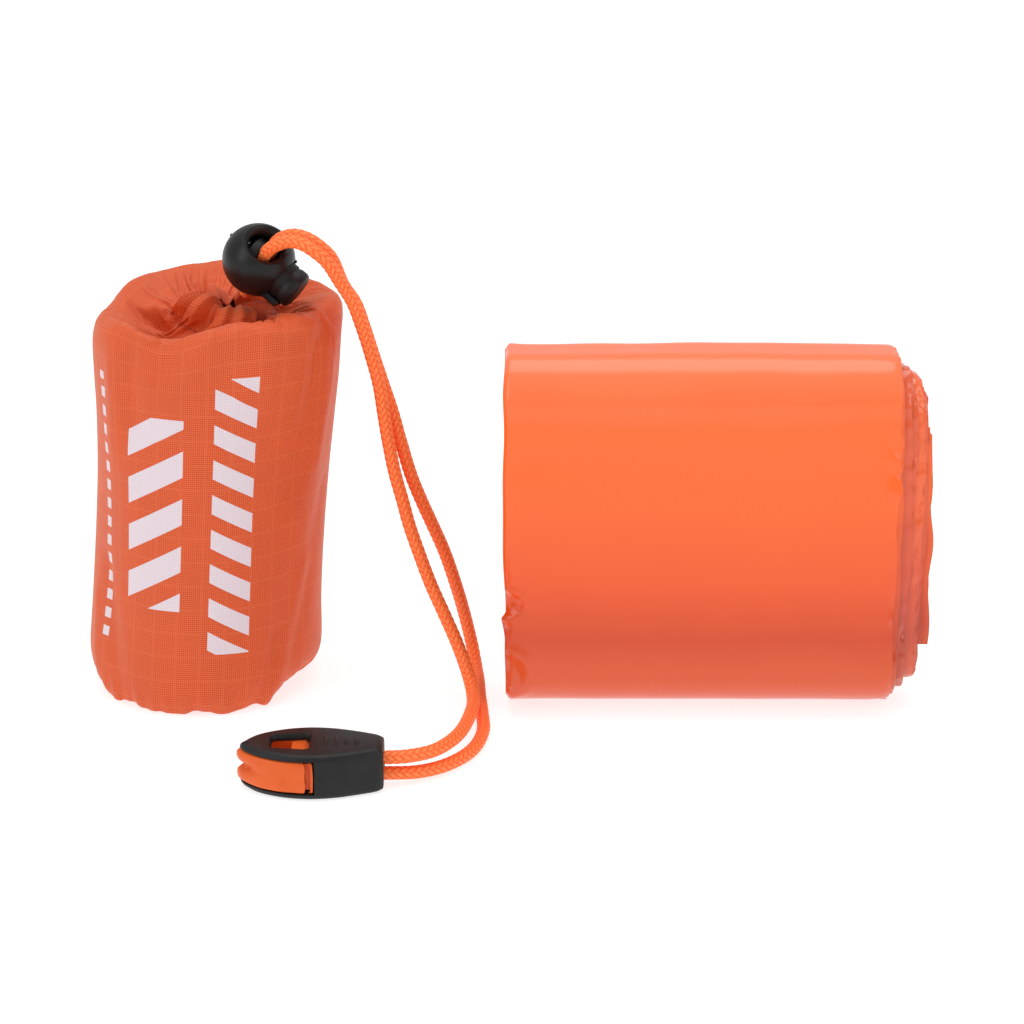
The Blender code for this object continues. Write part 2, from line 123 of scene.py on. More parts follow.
def material(name, colour, roughness, **settings):
    """A material with its Principled shader; settings name the shader's own sockets."""
    made = bpy.data.materials.new(name)
    made.use_nodes = True
    tree = made.node_tree
    surface = tree.nodes["Principled BSDF"]
    surface.inputs["Base Color"].default_value = (*colour, 1.0)
    surface.inputs["Roughness"].default_value = roughness
    for socket, value in settings.items():
        surface.inputs[socket.replace("_", " ")].default_value = value
    return made, tree, surface


def node(tree, kind, inputs=(), **settings):
    """A shader node. inputs is a dict or list of values and sockets, and settings are its properties."""
    made = tree.nodes.new("ShaderNode" + kind)
    for key, value in settings.items():
        setattr(made, key, value)
    pairs = inputs.items() if isinstance(inputs, dict) else enumerate(inputs)
    for key, value in pairs:
        if isinstance(value, bpy.types.NodeSocket):
            tree.links.new(value, made.inputs[key])
        elif value is not None:
            made.inputs[key].default_value = value
    return made


def maths(tree, operation, *values, clamp=False):
    return node(tree, "Math", values, operation=operation, use_clamp=clamp).outputs[0]


def ramp(tree, value, *stops):
    """A colour ramp of (position, colour) stops."""
    made = node(tree, "ValToRGB", [value])
    bar = made.color_ramp
    while len(bar.elements) < len(stops):
        bar.elements.new(0.5)
    for element, (position, colour) in zip(bar.elements, stops):
        element.position = position
        element.color = (*colour, 1.0)
    return made.outputs["Color"]


def noise(tree, vector, scale, detail=3.0, rough=0.5):
    settings = {"Vector": vector, "Scale": scale, "Detail": detail, "Roughness": rough}
    return node(tree, "TexNoise", settings).outputs["Fac"]


def wire(surface, **sources):
    """Links sockets into the shader's own sockets, which are named as in material()."""
    for socket, source in sources.items():
        surface.id_data.links.new(source, surface.inputs[socket.replace("_", " ")])


def scaled(tree, value, factor, offset):
    """value * factor + offset."""
    return maths(tree, "MULTIPLY_ADD", value, factor, offset)


def times(tree, first, second, clamp=False):
    return maths(tree, "MULTIPLY", first, second, clamp=clamp)


def shade(tree, colour, tone):
    """A colour made lighter or darker by a factor."""
    return node(tree, "VectorMath", {0: colour, "Scale": tone}, operation="SCALE").outputs[0]


def place_of(tree):
    """Where a point is on its piece, which doesn't change when the piece moves."""
    return node(tree, "TexCoord").outputs["Object"]


def bump(tree, surface, height, distance, strength=1.0):
    made = node(tree, "Bump", {"Height": height, "Distance": distance, "Strength": strength})
    wire(surface, Normal=made.outputs["Normal"])


def blend_colours(tree, share, first, second):
    made = node(tree, "Mix", data_type="RGBA")
    for socket, value in ((made.inputs[0], share), (made.inputs[6], first), (made.inputs[7], second)):
        if isinstance(value, bpy.types.NodeSocket):
            tree.links.new(value, socket)
        else:
            socket.default_value = (*value, 1.0) if isinstance(value, tuple) else value
    return made.outputs[2]


# ---------------------------------------------------------------- mesh helpers


SHARP_EDGE = radians(50.0)  # edges over this angle are drawn sharp
BEVELLED_EDGE = radians(40.0)  # and edges over this one are rounded before that


def piece(name, mesh, body, slot, *nodes):
    """A finished piece of the model, riding on a body, for the CAD nodes it replaces; slot is not used."""
    thing = added(name, mesh)
    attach(thing, body)
    if nodes:
        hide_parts(*nodes)
    return thing


def made_mesh(name, operator, **settings):
    """A mesh made by one bmesh operator."""
    mesh = bpy.data.meshes.new(name)
    shape = bmesh.new()
    operator(shape, **settings)
    shape.to_mesh(mesh)
    shape.free()
    return mesh


def painted(mesh, look):
    """The mesh with one material and no other."""
    mesh.materials.clear()
    mesh.materials.append(look)
    return mesh


def grid_mesh(name, points, around=False, ends=False, flip=False, uv=None, values=None):
    """A mesh of rows of points. around joins each row's ends, and ends caps the first and last row.
    uv holds a (rows, columns + 1, 2) array in metres, and values a name and one number for each point."""
    rows, columns = points.shape[:2]
    index = np.arange(rows * columns).reshape(rows, columns)
    across = columns if around else columns - 1
    lower = index[:-1]
    upper = index[1:]
    right = [(j + 1) % columns for j in range(across)]
    corners = [lower[:, :across], lower[:, right], upper[:, right], upper[:, :across]]
    if flip:
        corners.reverse()
    faces = np.stack(corners, axis=-1).reshape(-1, 4).tolist()
    if ends:
        first = index[0].tolist()
        last = index[-1].tolist()
        faces.append(first if flip else first[::-1])
        faces.append(last[::-1] if flip else last)
    mesh = bpy.data.meshes.new(name)
    mesh.from_pydata(points.reshape(-1, 3).tolist(), [], faces)
    if uv is not None:
        cells = [uv[:-1, :across], uv[:-1, 1 : across + 1], uv[1:, 1 : across + 1], uv[1:, :across]]
        if flip:
            cells.reverse()
        flat = np.stack(cells, axis=2).reshape(-1)
        layer = mesh.uv_layers.new(name="flat")
        data = np.zeros(len(mesh.loops) * 2, dtype=np.float32)
        data[: len(flat)] = flat
        layer.data.foreach_set("uv", data)
    if values is not None:
        word, numbers = values
        numbers = np.ravel(numbers).astype(np.float32)
        mesh.attributes.new(word, "FLOAT", "POINT").data.foreach_set("value", numbers)
    mesh.shade_smooth()
    mesh.update()
    return mesh


def spline(a, b, c, d, t):
    """Catmull-Rom curve from b to c, as t goes from 0 to 1."""
    return 0.5 * (2 * b + (c - a) * t + (2 * a - 5 * b + 4 * c - d) * t**2 + (3 * b - a - 3 * c + d) * t**3)


def through(points, step):
    """A smooth line through points, as rows of an array about a step apart."""
    given = np.array([list(p) for p in points])
    padded = np.vstack([2 * given[0] - given[1], given, 2 * given[-1] - given[-2]])
    t = np.linspace(0.0, 1.0, 24, endpoint=False)[:, None]
    parts = [spline(*ends, t) for ends in zip(padded, padded[1:], padded[2:], padded[3:])]
    fine = np.vstack([*parts, given[-1:]])
    lengths = lengths_along(fine)
    count = max(3, round(lengths[-1] / step))
    even = np.linspace(0.0, lengths[-1], count + 1)
    return np.stack([np.interp(even, lengths, fine[:, k]) for k in range(3)], axis=1)


def lengths_along(path):
    return np.concatenate([[0.0], np.cumsum(np.linalg.norm(np.diff(path, axis=0), axis=1))])


def cross_frames(path):
    """Two directions across a path at each point, turned as little as possible from one point to the next."""
    ahead = np.gradient(path, axis=0)
    ahead /= np.linalg.norm(ahead, axis=1)[:, None]
    first = np.cross(ahead[0], (0.0, 0.0, 1.0))
    if np.linalg.norm(first) < 0.1:
        first = np.cross(ahead[0], (0.0, 1.0, 0.0))
    across = [first / np.linalg.norm(first)]
    for way in ahead[1:]:
        side = across[-1] - way * np.dot(across[-1], way)
        across.append(side / np.linalg.norm(side))
    across = np.array(across)
    return across, np.cross(ahead, across)


def baked(thing):
    """The mesh of an object with its modifiers applied; the object and its modifiers are left behind."""
    bpy.context.view_layer.update()
    graph = bpy.context.evaluated_depsgraph_get()
    mesh = bpy.data.meshes.new_from_object(thing.evaluated_get(graph))
    name = thing.name
    bpy.data.objects.remove(thing)
    mesh.name = name
    return mesh


def scratch(name, mesh, placement=Matrix.Identity(4)):
    """A helper object that doesn't stay in the scene."""
    mesh.transform(placement)
    return added(name, mesh)


def turned_mesh(name, profile, steps=64):
    """A closed solid from (radius, height) points in millimetres, top to bottom, turned about Z."""
    rings = np.array(profile[1:-1]) * MM
    angles = np.linspace(0.0, 2 * pi, steps, endpoint=False)
    points = grid(rings[:, :1] * np.cos(angles), rings[:, :1] * np.sin(angles), rings[:, 1:2])
    return grid_mesh(name, points, around=True, ends=True, flip=True)


def carved(thing, *cutters, operation="DIFFERENCE"):
    """The mesh of a helper object with others cut from it, or joined to it; all of them are used up."""
    for cutter in cutters:
        boolean = thing.modifiers.new("cut", "BOOLEAN")
        boolean.operation = operation
        boolean.object = cutter
        boolean.solver = "EXACT"
    mesh = baked(thing)
    for cutter in cutters:
        bpy.data.objects.remove(cutter)
    return mesh


def bevelled(name, mesh, width, segments=3):
    """A mesh with its sharp edges rounded."""
    thing = scratch(name, mesh)
    edge = thing.modifiers.new("edge", "BEVEL")
    edge.width = width
    edge.segments = segments
    edge.limit_method = "ANGLE"
    edge.angle_limit = BEVELLED_EDGE
    rounded = baked(thing)
    rounded.shade_smooth()
    rounded.set_sharp_from_angle(angle=SHARP_EDGE)
    return rounded


def frame_of(origin, axis, side):
    """A placement whose local Z is axis and whose local X is side."""
    up = Vector(axis).normalized()
    across = Vector(side).normalized()
    back = up.cross(across)
    return Matrix.Translation(origin) @ Matrix((across, back, up)).transposed().to_4x4()


def box_mesh(name, low, high):
    """A box between two corners in millimetres."""
    low, high = Vector(low) * MM, Vector(high) * MM
    size = high - low
    place = Matrix.Translation((high + low) / 2) @ Matrix.Diagonal((*size, 1.0))
    return made_mesh(name, bmesh.ops.create_cube, size=1.0, matrix=place)


def grid(*axes):
    """An array of points from one array or number for each coordinate."""
    return np.stack(np.broadcast_arrays(*axes), axis=-1)


def bell(x, width):
    return np.exp(-((x / width) ** 2))


def smoothstep(low, high, x):
    t = np.clip((x - low) / (high - low), 0.0, 1.0)
    return t * t * (3.0 - 2.0 * t)


def between(x, low, from_here, to_here, high):
    """1 from one point to another, easing to 0 outside them."""
    return smoothstep(low, from_here, x) * (1.0 - smoothstep(to_here, high, x))


# ---------------------------------------------------------------- cords

LOCK_CENTRE = Vector((-64.9, -5.0, 118.3)) * MM
LOCK_RADIUS = 9.5 * MM
PARTING_REACH = LOCK_RADIUS - 0.02 * MM  # from the ball's middle to the parting line's
PARTING_RADIUS = 0.07 * MM
NIB_RADIUS = 0.5 * MM
HOLE_AXIS = Vector((0.34, -0.62, 0.705)).normalized()
PLUNGER_AXIS = Vector((0.79, -0.284, -0.546))
PLUNGER_AXIS = (PLUNGER_AXIS - HOLE_AXIS * PLUNGER_AXIS.dot(HOLE_AXIS)).normalized()
SIDE_AXIS = HOLE_AXIS.cross(PLUNGER_AXIS)
STRAND_OFFSET = 1.85 * MM
STRAND_SHIFT = 1.5 * MM
MEETING = 7.0 * MM
STRAIGHT_END = 8.0 * MM
TAIL_LENGTH = 13.2 * MM
WHISTLE_TAIL = Vector((-31.3, -71.8, 0.0)) * MM
STRAND_HEIGHTS = (7.5 * MM, 3.2 * MM)
CORD_RADIUS = 1.78 * MM
KNOT_TURNS = 2.0
MOUTH = Vector((-74.2, 1.4, 101.2)) * MM
LOOP_RADIUS = 4.3 * MM

# the strands' routes in millimetres, as in the frame
FRONT_ROUTE = (
    (-60.1, -13.7, 124.2), (-56.6, -15.7, 125.9), (-53.0, -17.1, 125.8), (-49.4, -18.1, 123.9),
    (-46.2, -17.2, 120.6), (-43.3, -14.2, 114.7), (-40.4, -12.2, 109.0), (-38.2, -10.6, 102.0),
    (-36.1, -9.6, 94.3), (-34.1, -9.1, 85.8), (-32.9, -9.0, 77.0), (-32.0, -9.0, 70.7),
    (-30.4, -9.0, 61.6), (-28.2, -9.5, 53.1), (-26.6, -10.0, 46.8), (-24.0, -11.0, 39.0),
    (-20.9, -12.5, 30.7), (-17.4, -14.8, 23.2), (-14.0, -18.0, 16.2), (-11.2, -22.6, 9.9),
    (-9.6, -29.0, 5.9), (-9.8, -38.5, 5.5), (-12.6, -54.0, 6.2), (-18.0, -65.4, 6.9),
    (-24.6, -70.6, 7.4),
)
REAR_ROUTE = (
    (-58.1, -10.6, 125.6), (-54.9, -12.4, 126.7), (-51.3, -13.9, 126.1), (-47.9, -14.3, 123.8),
    (-45.3, -12.9, 120.3), (-43.0, -8.8, 112.8), (-39.8, -8.3, 107.4), (-37.7, -6.7, 100.4),
    (-35.6, -5.7, 92.8), (-33.2, -5.1, 84.6), (-30.9, -5.0, 77.1), (-28.9, -5.0, 69.2),
    (-26.2, -4.5, 59.1), (-23.3, -4.0, 51.1), (-21.0, -3.0, 45.2), (-17.4, -1.6, 35.7),
    (-14.4, -0.2, 25.5), (-12.2, 1.0, 16.6), (-10.3, 0.8, 8.2), (-9.0, -3.6, 2.9),
    (-8.3, -11.0, 1.85), (-7.9, -20.0, 1.8), (-7.1, -32.0, 1.8), (-6.8, -44.0, 1.8),
    (-9.6, -55.4, 1.8), (-15.6, -64.2, 2.0), (-22.9, -69.8, 2.6),
)
BRAID_PITCH = 1.9 * MM
BRAID_STEP = 0.24 * MM  # between two rings of a strand's points
CARRIERS = 8  # yarn bundles going each way round
BRAID_RELIEF = 0.22 * MM


def strand_point(side, along):
    return LOCK_CENTRE + HOLE_AXIS * along + SIDE_AXIS * (STRAND_OFFSET * side) + PLUNGER_AXIS * STRAND_SHIFT


def braid_material():
    """Orange braid: painted shade, darker and redder, where the braid dips at its crossings, a painted
    highlight on the bundles' crowns, and fine filaments along each bundle.
    """
    gloss = {"Sheen_Weight": 0.12, "Sheen_Roughness": 0.4, "Sheen_Tint": (1.0, 0.55, 0.35, 1.0)}
    made, tree, surface = material("orange_braid", (0.9, 0.17, 0.03), 0.62, **gloss)
    relief = node(tree, "Attribute", attribute_name="relief").outputs["Fac"]
    # painted shade and highlight: the colour follows the braid's relief, darkest in the hollows between
    # bundles and palest on their tops
    tones = ((0.0, (0.4, 0.02, 0.003)), (0.45, (0.92, 0.11, 0.014)), (1.0, (1.0, 0.25, 0.06)))
    fibres = noise(tree, place_of(tree), 5200.0, 2.0)
    wire(surface, Base_Color=shade(tree, ramp(tree, relief, *tones), scaled(tree, fibres, 0.5, 0.85)))
    bump(tree, surface, fibres, 0.05 * MM, 0.6)
    return made


def tube(path, reach, angles):
    """Points at these angles round a path, as far from it as reach says."""
    across, along = cross_frames(path)
    return (path[:, None, :] + across[:, None, :] * (reach * np.cos(angles))[..., None]
            + along[:, None, :] * (reach * np.sin(angles))[..., None])


def braid_mesh(name, path, radius, sides=40):
    """A tube with a two-over, two-under braid pressed into it. Its height is kept as the attribute relief."""
    distance = lengths_along(path)[:, None]
    angles = np.linspace(0.0, 2 * pi, sides, endpoint=False)[None, :]
    turn = CARRIERS * angles / (2 * pi)
    a = turn + distance / BRAID_PITCH
    b = turn - distance / BRAID_PITCH
    near_a = np.round(a)
    near_b = np.round(b)
    one_way = 1.0 - (2.0 * (b - near_b)) ** 2 + 0.6 * np.cos(pi / 2 * (a + near_b - 0.5))
    other_way = 1.0 - (2.0 * (a - near_a)) ** 2 - 0.6 * np.cos(pi / 2 * (b + near_a - 0.5))
    height = np.clip(np.maximum(one_way, other_way) / 1.6, -0.3, 1.0)
    reach = radius - BRAID_RELIEF + BRAID_RELIEF * height
    relief = ("relief", np.clip(height, 0.0, 1.0))
    return grid_mesh(name, tube(path, reach, angles), around=True, ends=True, values=relief)


def strand(word, side, route, height, braid):
    points = [strand_point(side, MEETING), strand_point(side, STRAIGHT_END)]
    points.extend(Vector(point) * MM for point in route)
    for back in (0.0, 4.0 * MM, 7.7 * MM):
        points.append(WHISTLE_TAIL + Vector((-back, 0.0, height)))
    path = through(points, BRAID_STEP)
    name = "cord_strand_" + word
    thing = added(name + "_braid", painted(braid_mesh(name + "_braid", path, CORD_RADIUS), braid))
    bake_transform(thing)
    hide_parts(name)


def drawcord(braid):
    """The cord's two tails in the lock, and its loop in the hem."""
    for word, side in (("front", -1), ("rear", 1)):
        ends = [strand_point(side, along) for along in (-TAIL_LENGTH, 0.0, MEETING - 0.3 * MM)]
        path = through(ends, 0.3 * MM)
        mesh = painted(braid_mesh("drawcord_tail_%s_braid" % word, path, 1.6 * MM), braid)
        piece(mesh.name, mesh, "stuff_sack", "orange_cord", "drawcord_tail_" + word)
    angles = np.linspace(0.0, 2 * pi, 49)
    ring = np.array(MOUTH) + grid(np.cos(angles), np.sin(angles), 0.0) * LOOP_RADIUS
    mesh = painted(braid_mesh("hem_drawcord_braid", through(ring, 0.4 * MM), 1.55 * MM, 24), braid)
    piece(mesh.name, mesh, "stuff_sack", "orange_cord", "hem_drawcord")


# ---------------------------------------------------------------- cord lock


def moulded(name, dark, light, roughness, grain=2600.0):
    """Moulded plastic with a fine eroded grain and faint handling marks."""
    made, tree, surface = material(name, dark, roughness, Specular_IOR_Level=0.3)
    where = place_of(tree)
    cloud = noise(tree, where, 190.0, 4.0)
    marks = noise(tree, where, 700.0, 5.0, 0.65)
    wire(surface, Base_Color=ramp(tree, cloud, (0.3, dark), (0.75, light)),
         Roughness=scaled(tree, marks, 0.22, roughness - 0.11))
    bump(tree, surface, noise(tree, where, grain, 2.0), 0.025 * MM, 0.5)
    return made


def lock():
    black = moulded("lock_black", (0.005, 0.0045, 0.005), (0.01, 0.009, 0.0095), 0.36)
    along_hole = frame_of(LOCK_CENTRE, HOLE_AXIS, PLUNGER_AXIS)
    along_plunger = frame_of(LOCK_CENTRE, PLUNGER_AXIS, HOLE_AXIS)
    ball = made_mesh("lock_ball", bmesh.ops.create_uvsphere, u_segments=96, v_segments=64, radius=LOCK_RADIUS,
                     matrix=along_hole)
    # the sleeve that guides the plunger, on the ball's underside
    angles = np.linspace(radians(105.0), radians(255.0), 24)[:, None]
    radius, height = np.array(((5.55, 3.0), (6.9, 3.0), (6.9, 10.6), (6.4, 11.2), (5.55, 11.2))).T * MM
    sleeve = grid(radius * np.cos(angles), radius * np.sin(angles), height)
    sleeve = scratch("sleeve", grid_mesh("sleeve", sleeve, around=True, ends=True), along_plunger)
    hole = turned_mesh("hole", (
        (0.0, 20.0), (9.6, 20.0), (9.6, 9.0), (7.2, 7.8), (5.6, 7.15), (4.7, 6.6), (4.35, 5.9),
        (4.3, -6.5), (5.6, -9.4), (7.0, -12.0), (0.0, -20.0)))
    bore = turned_mesh("bore", ((0.0, 20.0), (5.6, 20.0), (5.6, -6.6), (0.0, -6.6)))
    whole = scratch("lock_shell", carved(scratch("lock_ball", ball), sleeve, operation="UNION"))
    mesh = carved(whole, scratch("hole", hole, along_hole), scratch("bore", bore, along_plunger))
    mesh = bevelled("lock_shell", mesh, 0.28 * MM)
    piece("lock_shell", painted(mesh, black), "cord_lock", "lock_black", "lock_body")

    # mould parting line round the ball, with its two gate nibs
    tilt = frame_of(LOCK_CENTRE, SIDE_AXIS, HOLE_AXIS)
    steps = np.linspace(radians(-62.0), radians(-298.0), 90)
    line = [tilt @ Vector((cos(a), sin(a), 0.0)) for a in steps]
    ridge = np.array([list(LOCK_CENTRE + (p - LOCK_CENTRE) * PARTING_REACH) for p in line])
    angles = np.linspace(0.0, 2 * pi, 6, endpoint=False)[None, :]
    points = tube(ridge, PARTING_RADIUS, angles)
    nibs = []
    for direction in ((-0.743, 0.229, 0.629), (0.998, -0.018, -0.05)):
        spot = Matrix.Translation(LOCK_CENTRE + Vector(direction).normalized() * LOCK_RADIUS)
        nibs.append(made_mesh("nib", bmesh.ops.create_icosphere, subdivisions=2, radius=NIB_RADIUS,
                              matrix=spot))
    parting = join_meshes("lock_parting_line", [grid_mesh("line", points, around=True, ends=True), *nibs])
    piece("lock_parting_line", painted(parting, black), "cord_lock", "lock_black")

    plunger = turned_mesh("lock_plunger_button", (
        (0.0, 13.5), (2.6, 13.5), (4.2, 13.35), (4.9, 12.9), (5.2, 12.2), (5.2, 10.4), (4.95, 10.1),
        (4.95, 9.6), (5.2, 9.3), (5.2, -3.0), (0.0, -3.0)))
    plunger = scratch("lock_plunger_button", plunger, along_plunger)
    slot = box_mesh("slot", (-12, -3.9, -0.3), (12, 3.9, 5.9))
    mesh = carved(plunger, scratch("slot", slot, along_plunger))
    mesh = bevelled("lock_plunger_button", mesh, 0.15 * MM, 2)
    satin = moulded("plunger_black", (0.006, 0.006, 0.0065), (0.012, 0.011, 0.012), 0.46)
    piece("lock_plunger_button", painted(mesh, satin), "lock_button", "lock_black", "lock_plunger")

    steel, tree, surface = material("spring_wire", (0.55, 0.55, 0.56), 0.28, Metallic=1.0)
    drawn = noise(tree, place_of(tree), 900.0, 4.0)
    wire(surface, Roughness=scaled(tree, drawn, 0.25, 0.18))
    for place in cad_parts["lock_spring"].material_slots:
        place.material = steel


# ---------------------------------------------------------------- whistle

WHISTLE_LENGTH = 36.1 * MM
HALF_WIDTHS = (
    (0.0, 0.0), (1.0, 2.2), (3.5, 4.7), (7.0, 7.0), (12.0, 8.9), (18.0, 9.7),
    (24.0, 9.0), (29.0, 7.5), (33.5, 5.8), (35.3, 5.1), (36.1, 4.3),
)


def leaf(start=0.0, end=WHISTLE_LENGTH, count=56):
    """Plan outline of the whistle, nose at x = 0, as two arrays for its two sides, tail on the end."""
    curve = through([(x * MM, y * MM, 0.0) for x, y in HALF_WIDTHS], 0.45 * MM)
    nose = np.interp(np.linspace(0, 1, 14) ** 1.7, (0, 1), (max(start, 0.02 * MM), start + 4 * MM))
    x = np.concatenate([nose, np.linspace(start + 4 * MM, end, count - 13)[1:]])
    y = np.interp(x, curve[:, 0], curve[:, 1])
    return x, y


def lofted(name, levels, outline):
    """A solid of one outline at several levels: height, inset and how far back the nose is, in mm."""
    x, y = outline
    rows = []
    for height, inset, back in np.array(levels) * MM:
        side = np.maximum(y - inset, 0.15 * MM)
        shift = inset * (1.0 - smoothstep(0.0, 5 * MM, x)) + back * (1.0 - smoothstep(0.0, 7 * MM, x))
        shift -= inset * smoothstep(x[-1] - 3 * MM, x[-1], x)
        upper = grid(x + shift, side, height)
        lower = upper[::-1] * (1.0, -1.0, 1.0)
        rows.append(np.vstack([upper, lower]))
    return grid_mesh(name, np.array(rows), around=True, ends=True, flip=True)


def whistle():
    black = moulded("whistle_black", (0.006, 0.0055, 0.006), (0.014, 0.013, 0.0135), 0.45, 3400.0)
    nose = Matrix.Translation(WHISTLE_TAIL - Vector((WHISTLE_LENGTH, 0.0, 0.0)))
    edge = ((0.0, 1.5, 0.0), (0.25, 0.75, 0.0), (0.8, 0.2, 0.0), (1.5, 0.0, 0.0), (10.4, 0.0, 0.0),
            (11.2, 0.25, 0.0), (11.75, 0.85, 0.0), (12.0, 1.8, 0.0))
    shell = lofted("whistle_shell", edge, leaf())
    cutters = (
        box_mesh("bay", (-20, -20, 1.6), (19.2, 20, 10.5)),
        box_mesh("socket", (24.1, -2.1, 1.2), (60, 2.1, 9.5)),
        window_mesh(),
    )
    placed = [scratch(c.name, c, nose) for c in cutters]
    mesh = carved(scratch("whistle_housing_shell", shell, nose), *placed)
    mesh = bevelled("whistle_housing_shell", mesh, 0.35 * MM)
    piece("whistle_housing_shell", painted(mesh, black), "whistle", "whistle_black", "whistle_housing")

    ribs = []
    for i in range(4):
        spot = Matrix.Translation(((21.6 + 2.6 * i) * MM, 0.0, 12.0 * MM))
        matrix = nose @ spot @ Matrix.Diagonal((0.55 * MM, (3.4 - 0.35 * i) * MM, 0.32 * MM, 1.0))
        ribs.append(made_mesh("rib", bmesh.ops.create_uvsphere, u_segments=24, v_segments=12, radius=1.0,
                              matrix=matrix))
    grips = join_meshes("whistle_grip_ribs", ribs)
    piece("whistle_grip_ribs", painted(grips, black), "whistle", "whistle_black")

    orange = moulded("whistle_orange", (0.72, 0.105, 0.012), (0.8, 0.13, 0.018), 0.36, 2600.0)
    bite = (  # height, inset, how far the nose is set back: two lips with a groove for the teeth between them
        (1.9, 0.55, 0.5), (2.15, 0.2, 0.15), (2.6, 0.0, -0.1), (3.6, -0.1, -0.15), (4.6, -0.1, 0.0),
        (5.1, 0.0, 0.35), (5.5, 0.0, 1.1), (5.9, 0.05, 1.55), (6.4, 0.05, 1.5), (6.9, 0.0, 1.0),
        (7.3, 0.0, 0.4), (7.8, -0.1, 0.0), (8.8, -0.1, -0.15), (9.5, 0.0, -0.1), (9.95, 0.2, 0.15),
        (10.2, 0.55, 0.5),
    )
    x, y = leaf(0.0, 17.4 * MM, 46)
    front = lofted("insert_front", bite, (x - 0.6 * MM, y))
    body = scratch("whistle_insert_body", front, nose)
    chamber = box_mesh("chamber", (8, -4, 4.6), (13, 4, 14))
    slot = box_mesh("slot", (-20, -2.2, 6.4), (9, 2.2, 7.6))
    mesh = carved(body, scratch("chamber", chamber, nose), scratch("slot", slot, nose))
    mesh = bevelled("whistle_insert_body", mesh, 0.3 * MM)
    root = box_mesh("insert_root", (14.5, -8.3, 2.6), (18.4, 8.3, 9.6))
    root.transform(nose)
    x, y = leaf(14.4 * MM, 19.0 * MM, 30)
    back_edge = x > 18.1 * MM
    levels = ((1.75, 0.9, 0.0), (2.3, 0.25, 0.0), (6.0, 0.1, 0.0), (9.7, 0.25, 0.0), (10.35, 0.9, 0.0))
    rim = lofted("insert_rim", levels, (x[back_edge], y[back_edge]))
    rim.transform(nose)
    mesh = join_meshes("whistle_insert_body", [mesh, root, rim])
    piece("whistle_insert_body", painted(mesh, orange), "whistle", "whistle_orange", "whistle_insert")


def window_mesh():
    """The sound window: a rounded four-sided hole that widens upwards."""
    corners = ((8.0, -3.4), (17.4, -4.3), (17.4, 4.3), (8.0, 3.4))
    middle = 12.7
    rounding = 1.2
    rows = []
    for height, grow in ((9.0, 0.0), (11.0, 0.0), (12.6, 0.9)):
        row = []
        for k, (x, y) in enumerate(corners):
            centre_x = x + (rounding if x < middle else -rounding)
            centre_y = y + (rounding if y < 0 else -rounding)
            for j in range(5):
                angle = radians(180.0 + 90.0 * k + 22.5 * j)
                radius = rounding + grow
                row.append((centre_x + radius * cos(angle), centre_y + radius * sin(angle), height))
        rows.append(row)
    return grid_mesh("window", np.array(rows) * MM, around=True, ends=True)


def join_meshes(name, meshes):
    shape = bmesh.new()
    for mesh in meshes:
        shape.from_mesh(mesh)
    joined = bpy.data.meshes.new(name)
    shape.to_mesh(joined)
    shape.free()
    joined.shade_smooth()
    joined.set_sharp_from_angle(angle=SHARP_EDGE)
    return joined


def knot(braid):
    """The stopper knot in the whistle's tail socket: two turns of the braid."""
    middle = WHISTLE_TAIL + Vector((-9.85 * MM, 0.0, 5.35 * MM))
    share = np.linspace(0.0, 1.0, 61)
    angle = 2 * pi * KNOT_TURNS * share
    path = np.array(middle) + grid(0.35 * np.cos(angle), 0.35 * np.sin(angle), (share - 0.5) * 4.6) * MM
    mesh = painted(braid_mesh("cord_end_knot_braid", through(path, 0.3 * MM), 1.35 * MM, 24), braid)
    piece("cord_end_knot_braid", mesh, "whistle", "orange_cord", "cord_end_knot")


# ---------------------------------------------------------------- stuff sack

COLUMNS = 300
TUBE_WIDTH = 205.0 * MM  # round the fabric tube
PLEATS = 6
FOLD_ANGLE = -111.0  # of the deep fold at the front left, in degrees
LEAN = (-83.4, 0.068)  # where the sack's middle is at the floor, and how far it moves over for each mm up
# radius, height, 1 if that is from the rim and not the floor, share of the way to the mouth, twist, pleats
SACK_RINGS = (
    *((radius, height, 0, 0.0, 0.0, 0.0) for radius, height in (
        (25.5, 0.9), (28.2, 0.5), (29.9, 0.9), (31.2, 5.0), (31.4, 12.0), (31.0, 24.0), (30.8, 42.0),
        (31.0, 60.0), (31.7, 76.0), (32.5, 89.0))),
    (32.9, -5.2, 1, 0.0, 0.0, 0.0), (32.0, -1.3, 1, 0.0, 0.0, 0.2), (28.4, 0.2, 1, 0.15, 0.0, 0.7),
    (22.6, -2.8, 1, 0.4, 5.0, 1.9), (16.4, -6.0, 1, 0.75, 12.0, 3.2), (11.6, 99.0, 0, 1.0, 22.0, 3.9),
    (10.2, 102.2, 0, 1.0, 30.0, 3.6), (9.0, 105.2, 0, 1.0, 38.0, 3.0), (6.2, 106.8, 0, 1.0, 45.0, 1.7),
    (2.6, 104.6, 0, 1.0, 50.0, 0.4),
)
HEM_ROWS = 34  # rows of the side panel that the hem takes up
CLOTH_SCALE = 10.0  # the cloth is let settle at ten times its size
CLOTH_ROW = 66  # the lowest row that may move
CLOTH_FRAMES = 12  # frames that it is given to settle in
MOUTH_ROW = 128  # from here on the gathered mouth keeps its pleats
BENDING = 3.0  # how stiff the cloth is in bending
SLACK = 1.5  # at most this many times as much cloth round a row as the row is long


def gap(theta, degrees):
    """How far an angle is from a direction, in degrees, either way round."""
    return (np.degrees(theta) - degrees + 180.0) % 360.0 - 180.0


def toward(theta, degrees, width):
    return bell(gap(theta, degrees), width)


